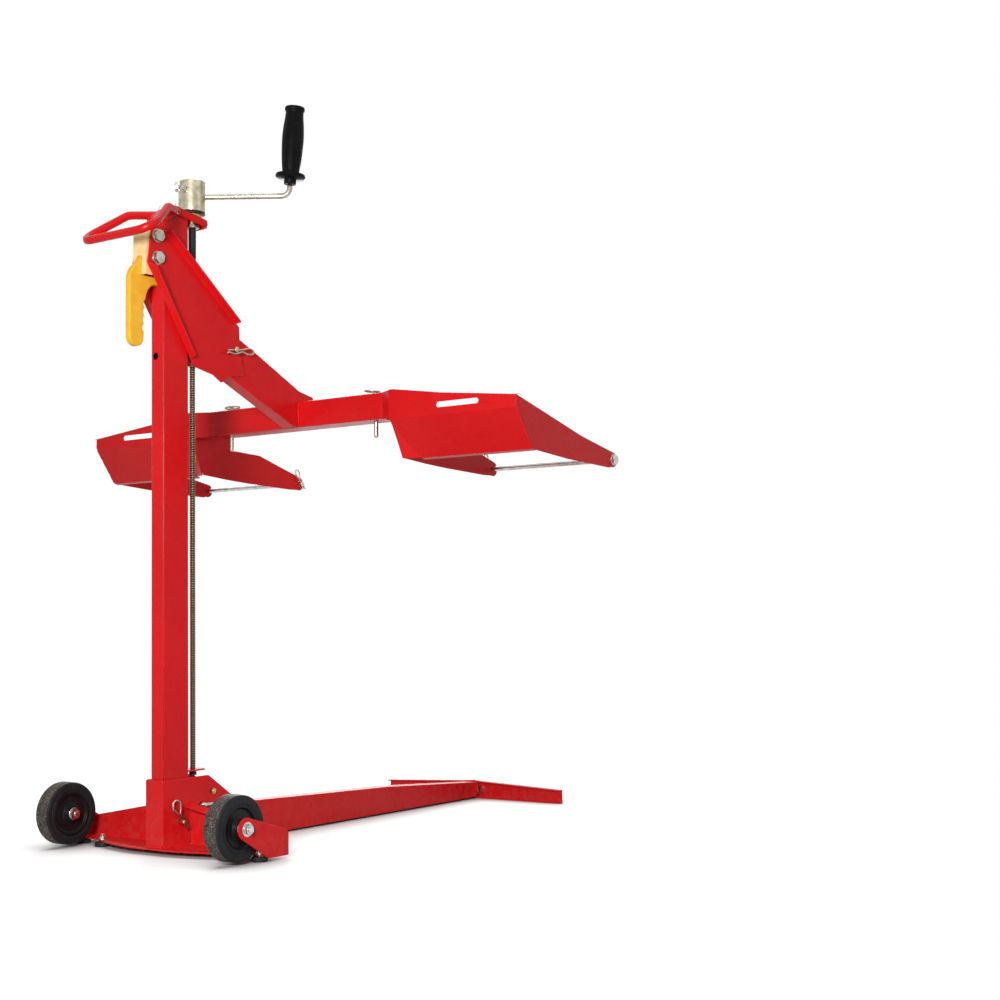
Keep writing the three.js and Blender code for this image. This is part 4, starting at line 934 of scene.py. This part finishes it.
bracket_y, bracket_z = MAST["half_y"] + 0.7, 158.6
corner_x, back_y, low_z = SOCKET["x"] + SEAM, SOCKET["back_y"] - SEAM, BASE["top"] + SEAM
wall_y, tab_x = BASE["wall_y"] - SEAM, BASE["x"] - BASE["sheet"] - SEAM
base_lines = [
    ((-corner_x + 2, back_y, low_z), (corner_x - 2, back_y, low_z)),
    ((-13, bracket_y, bracket_z), (13, bracket_y, bracket_z)),
]
for _, sign in SIDES:
    base_lines += [
        ((sign * corner_x, back_y + 3, low_z), (sign * corner_x, wall_y - 2, low_z)),
        ((sign * (corner_x + 6), wall_y, low_z), (sign * (tab_x - 1), wall_y, low_z)),
        ((sign * tab_x, wall_y + 1, low_z + 3), (sign * tab_x, wall_y + 1, 46)),
    ]
seams("base_welds", "base", 2.2, base_lines)

# Background, floor and light


def seen_rays(tree):
    """1 for the rays that show a background: from the camera, off something glossy or through glass."""
    path = add_node(tree, "ShaderNodeLightPath").outputs
    seen = maths(tree, "MAXIMUM", path["Is Camera Ray"], path["Is Glossy Ray"])
    return maths(tree, "MAXIMUM", seen, path["Is Transmission Ray"])


def make_world():
    """Plain white where it is seen; what lights the lift is much weaker."""
    world = bpy.data.worlds.new("studio")
    bpy.context.scene.world = world
    world.use_nodes = True
    tree = world.node_tree
    mixed = add_node(tree, "ShaderNodeMixShader", {"Fac": seen_rays(tree)})
    for socket, strength in ((mixed.inputs[1], SKY_LIGHT), (mixed.inputs[2], 1.0)):
        glow = add_node(tree, "ShaderNodeBackground", {"Color": WHITE, "Strength": strength})
        tree.links.new(glow.outputs[0], socket)
    tree.links.new(mixed.outputs[0], tree.nodes["World Output"].inputs["Surface"])


def floor_material():
    """A pale floor that is seen as plain white but for soft shadows close to the lift."""
    made, tree, shader = new_material("floor")
    place = object_place(tree)
    distance = add_node(tree, "ShaderNodeVectorMath", {0: place}, operation="LENGTH").outputs["Value"]
    span = {"Value": distance, "From Min": FLOOR["near"], "From Max": FLOOR["far"]}
    far = add_node(tree, "ShaderNodeMapRange", span, interpolation_type="SMOOTHSTEP").outputs["Result"]
    seen = seen_rays(tree)
    tree.links.new(mix(tree, seen, FLOOR["lit"], FLOOR["seen"]), shader.inputs["Base Color"])
    shader.inputs["Roughness"].default_value = 0.8
    shader.inputs["Specular IOR Level"].default_value = 0.1
    reach = {"Distance": FLOOR["shadow_reach"]}
    open_sky = add_node(tree, "ShaderNodeAmbientOcclusion", reach, samples=12).outputs["AO"]
    strength = maths(tree, "MULTIPLY", ramp(tree, open_sky, (0.45, 0.0), (0.97, FLOOR["glow"])), seen)
    glow = add_node(tree, "ShaderNodeEmission", {"Color": WHITE, "Strength": strength})
    near = add_node(tree, "ShaderNodeAddShader", {0: shader.outputs[0], 1: glow.outputs[0]})
    white = add_node(tree, "ShaderNodeEmission", {"Color": WHITE, "Strength": 1.0})
    share = maths(tree, "MULTIPLY", far, seen)
    blend = add_node(tree, "ShaderNodeMixShader", {0: share, 1: near.outputs[0], 2: white.outputs[0]})
    tree.links.new(blend.outputs[0], tree.nodes["Material Output"].inputs["Surface"])
    return made


def make_floor():
    half = FLOOR["half"]
    corners = [(-half, -half, 0), (half, -half, 0), (half, half, 0), (-half, half, 0)]
    mesh = bpy.data.meshes.new("floor")
    mesh.from_pydata(corners, [], [(0, 1, 2, 3)])
    mesh.materials.append(floor_material())
    floor = bpy.data.objects.new("floor", mesh)
    floor.location.z = -FLOOR["below"]
    bpy.context.scene.collection.objects.link(floor)


def make_lamp(name, place, size, power):
    data = bpy.data.lights.new(name, "AREA")
    data.shape = "DISK"
    data.size = size
    data.energy = power
    lamp = bpy.data.objects.new(name, data)
    bpy.context.scene.collection.objects.link(lamp)
    lamp.location = place
    lamp.rotation_euler = (Vector(LAMP_AIM) - Vector(place)).to_track_quat("-Z", "Y").to_euler()


make_world()
make_floor()
for name, (place, size, power) in LAMPS.items():
    make_lamp(name, place, size, power)
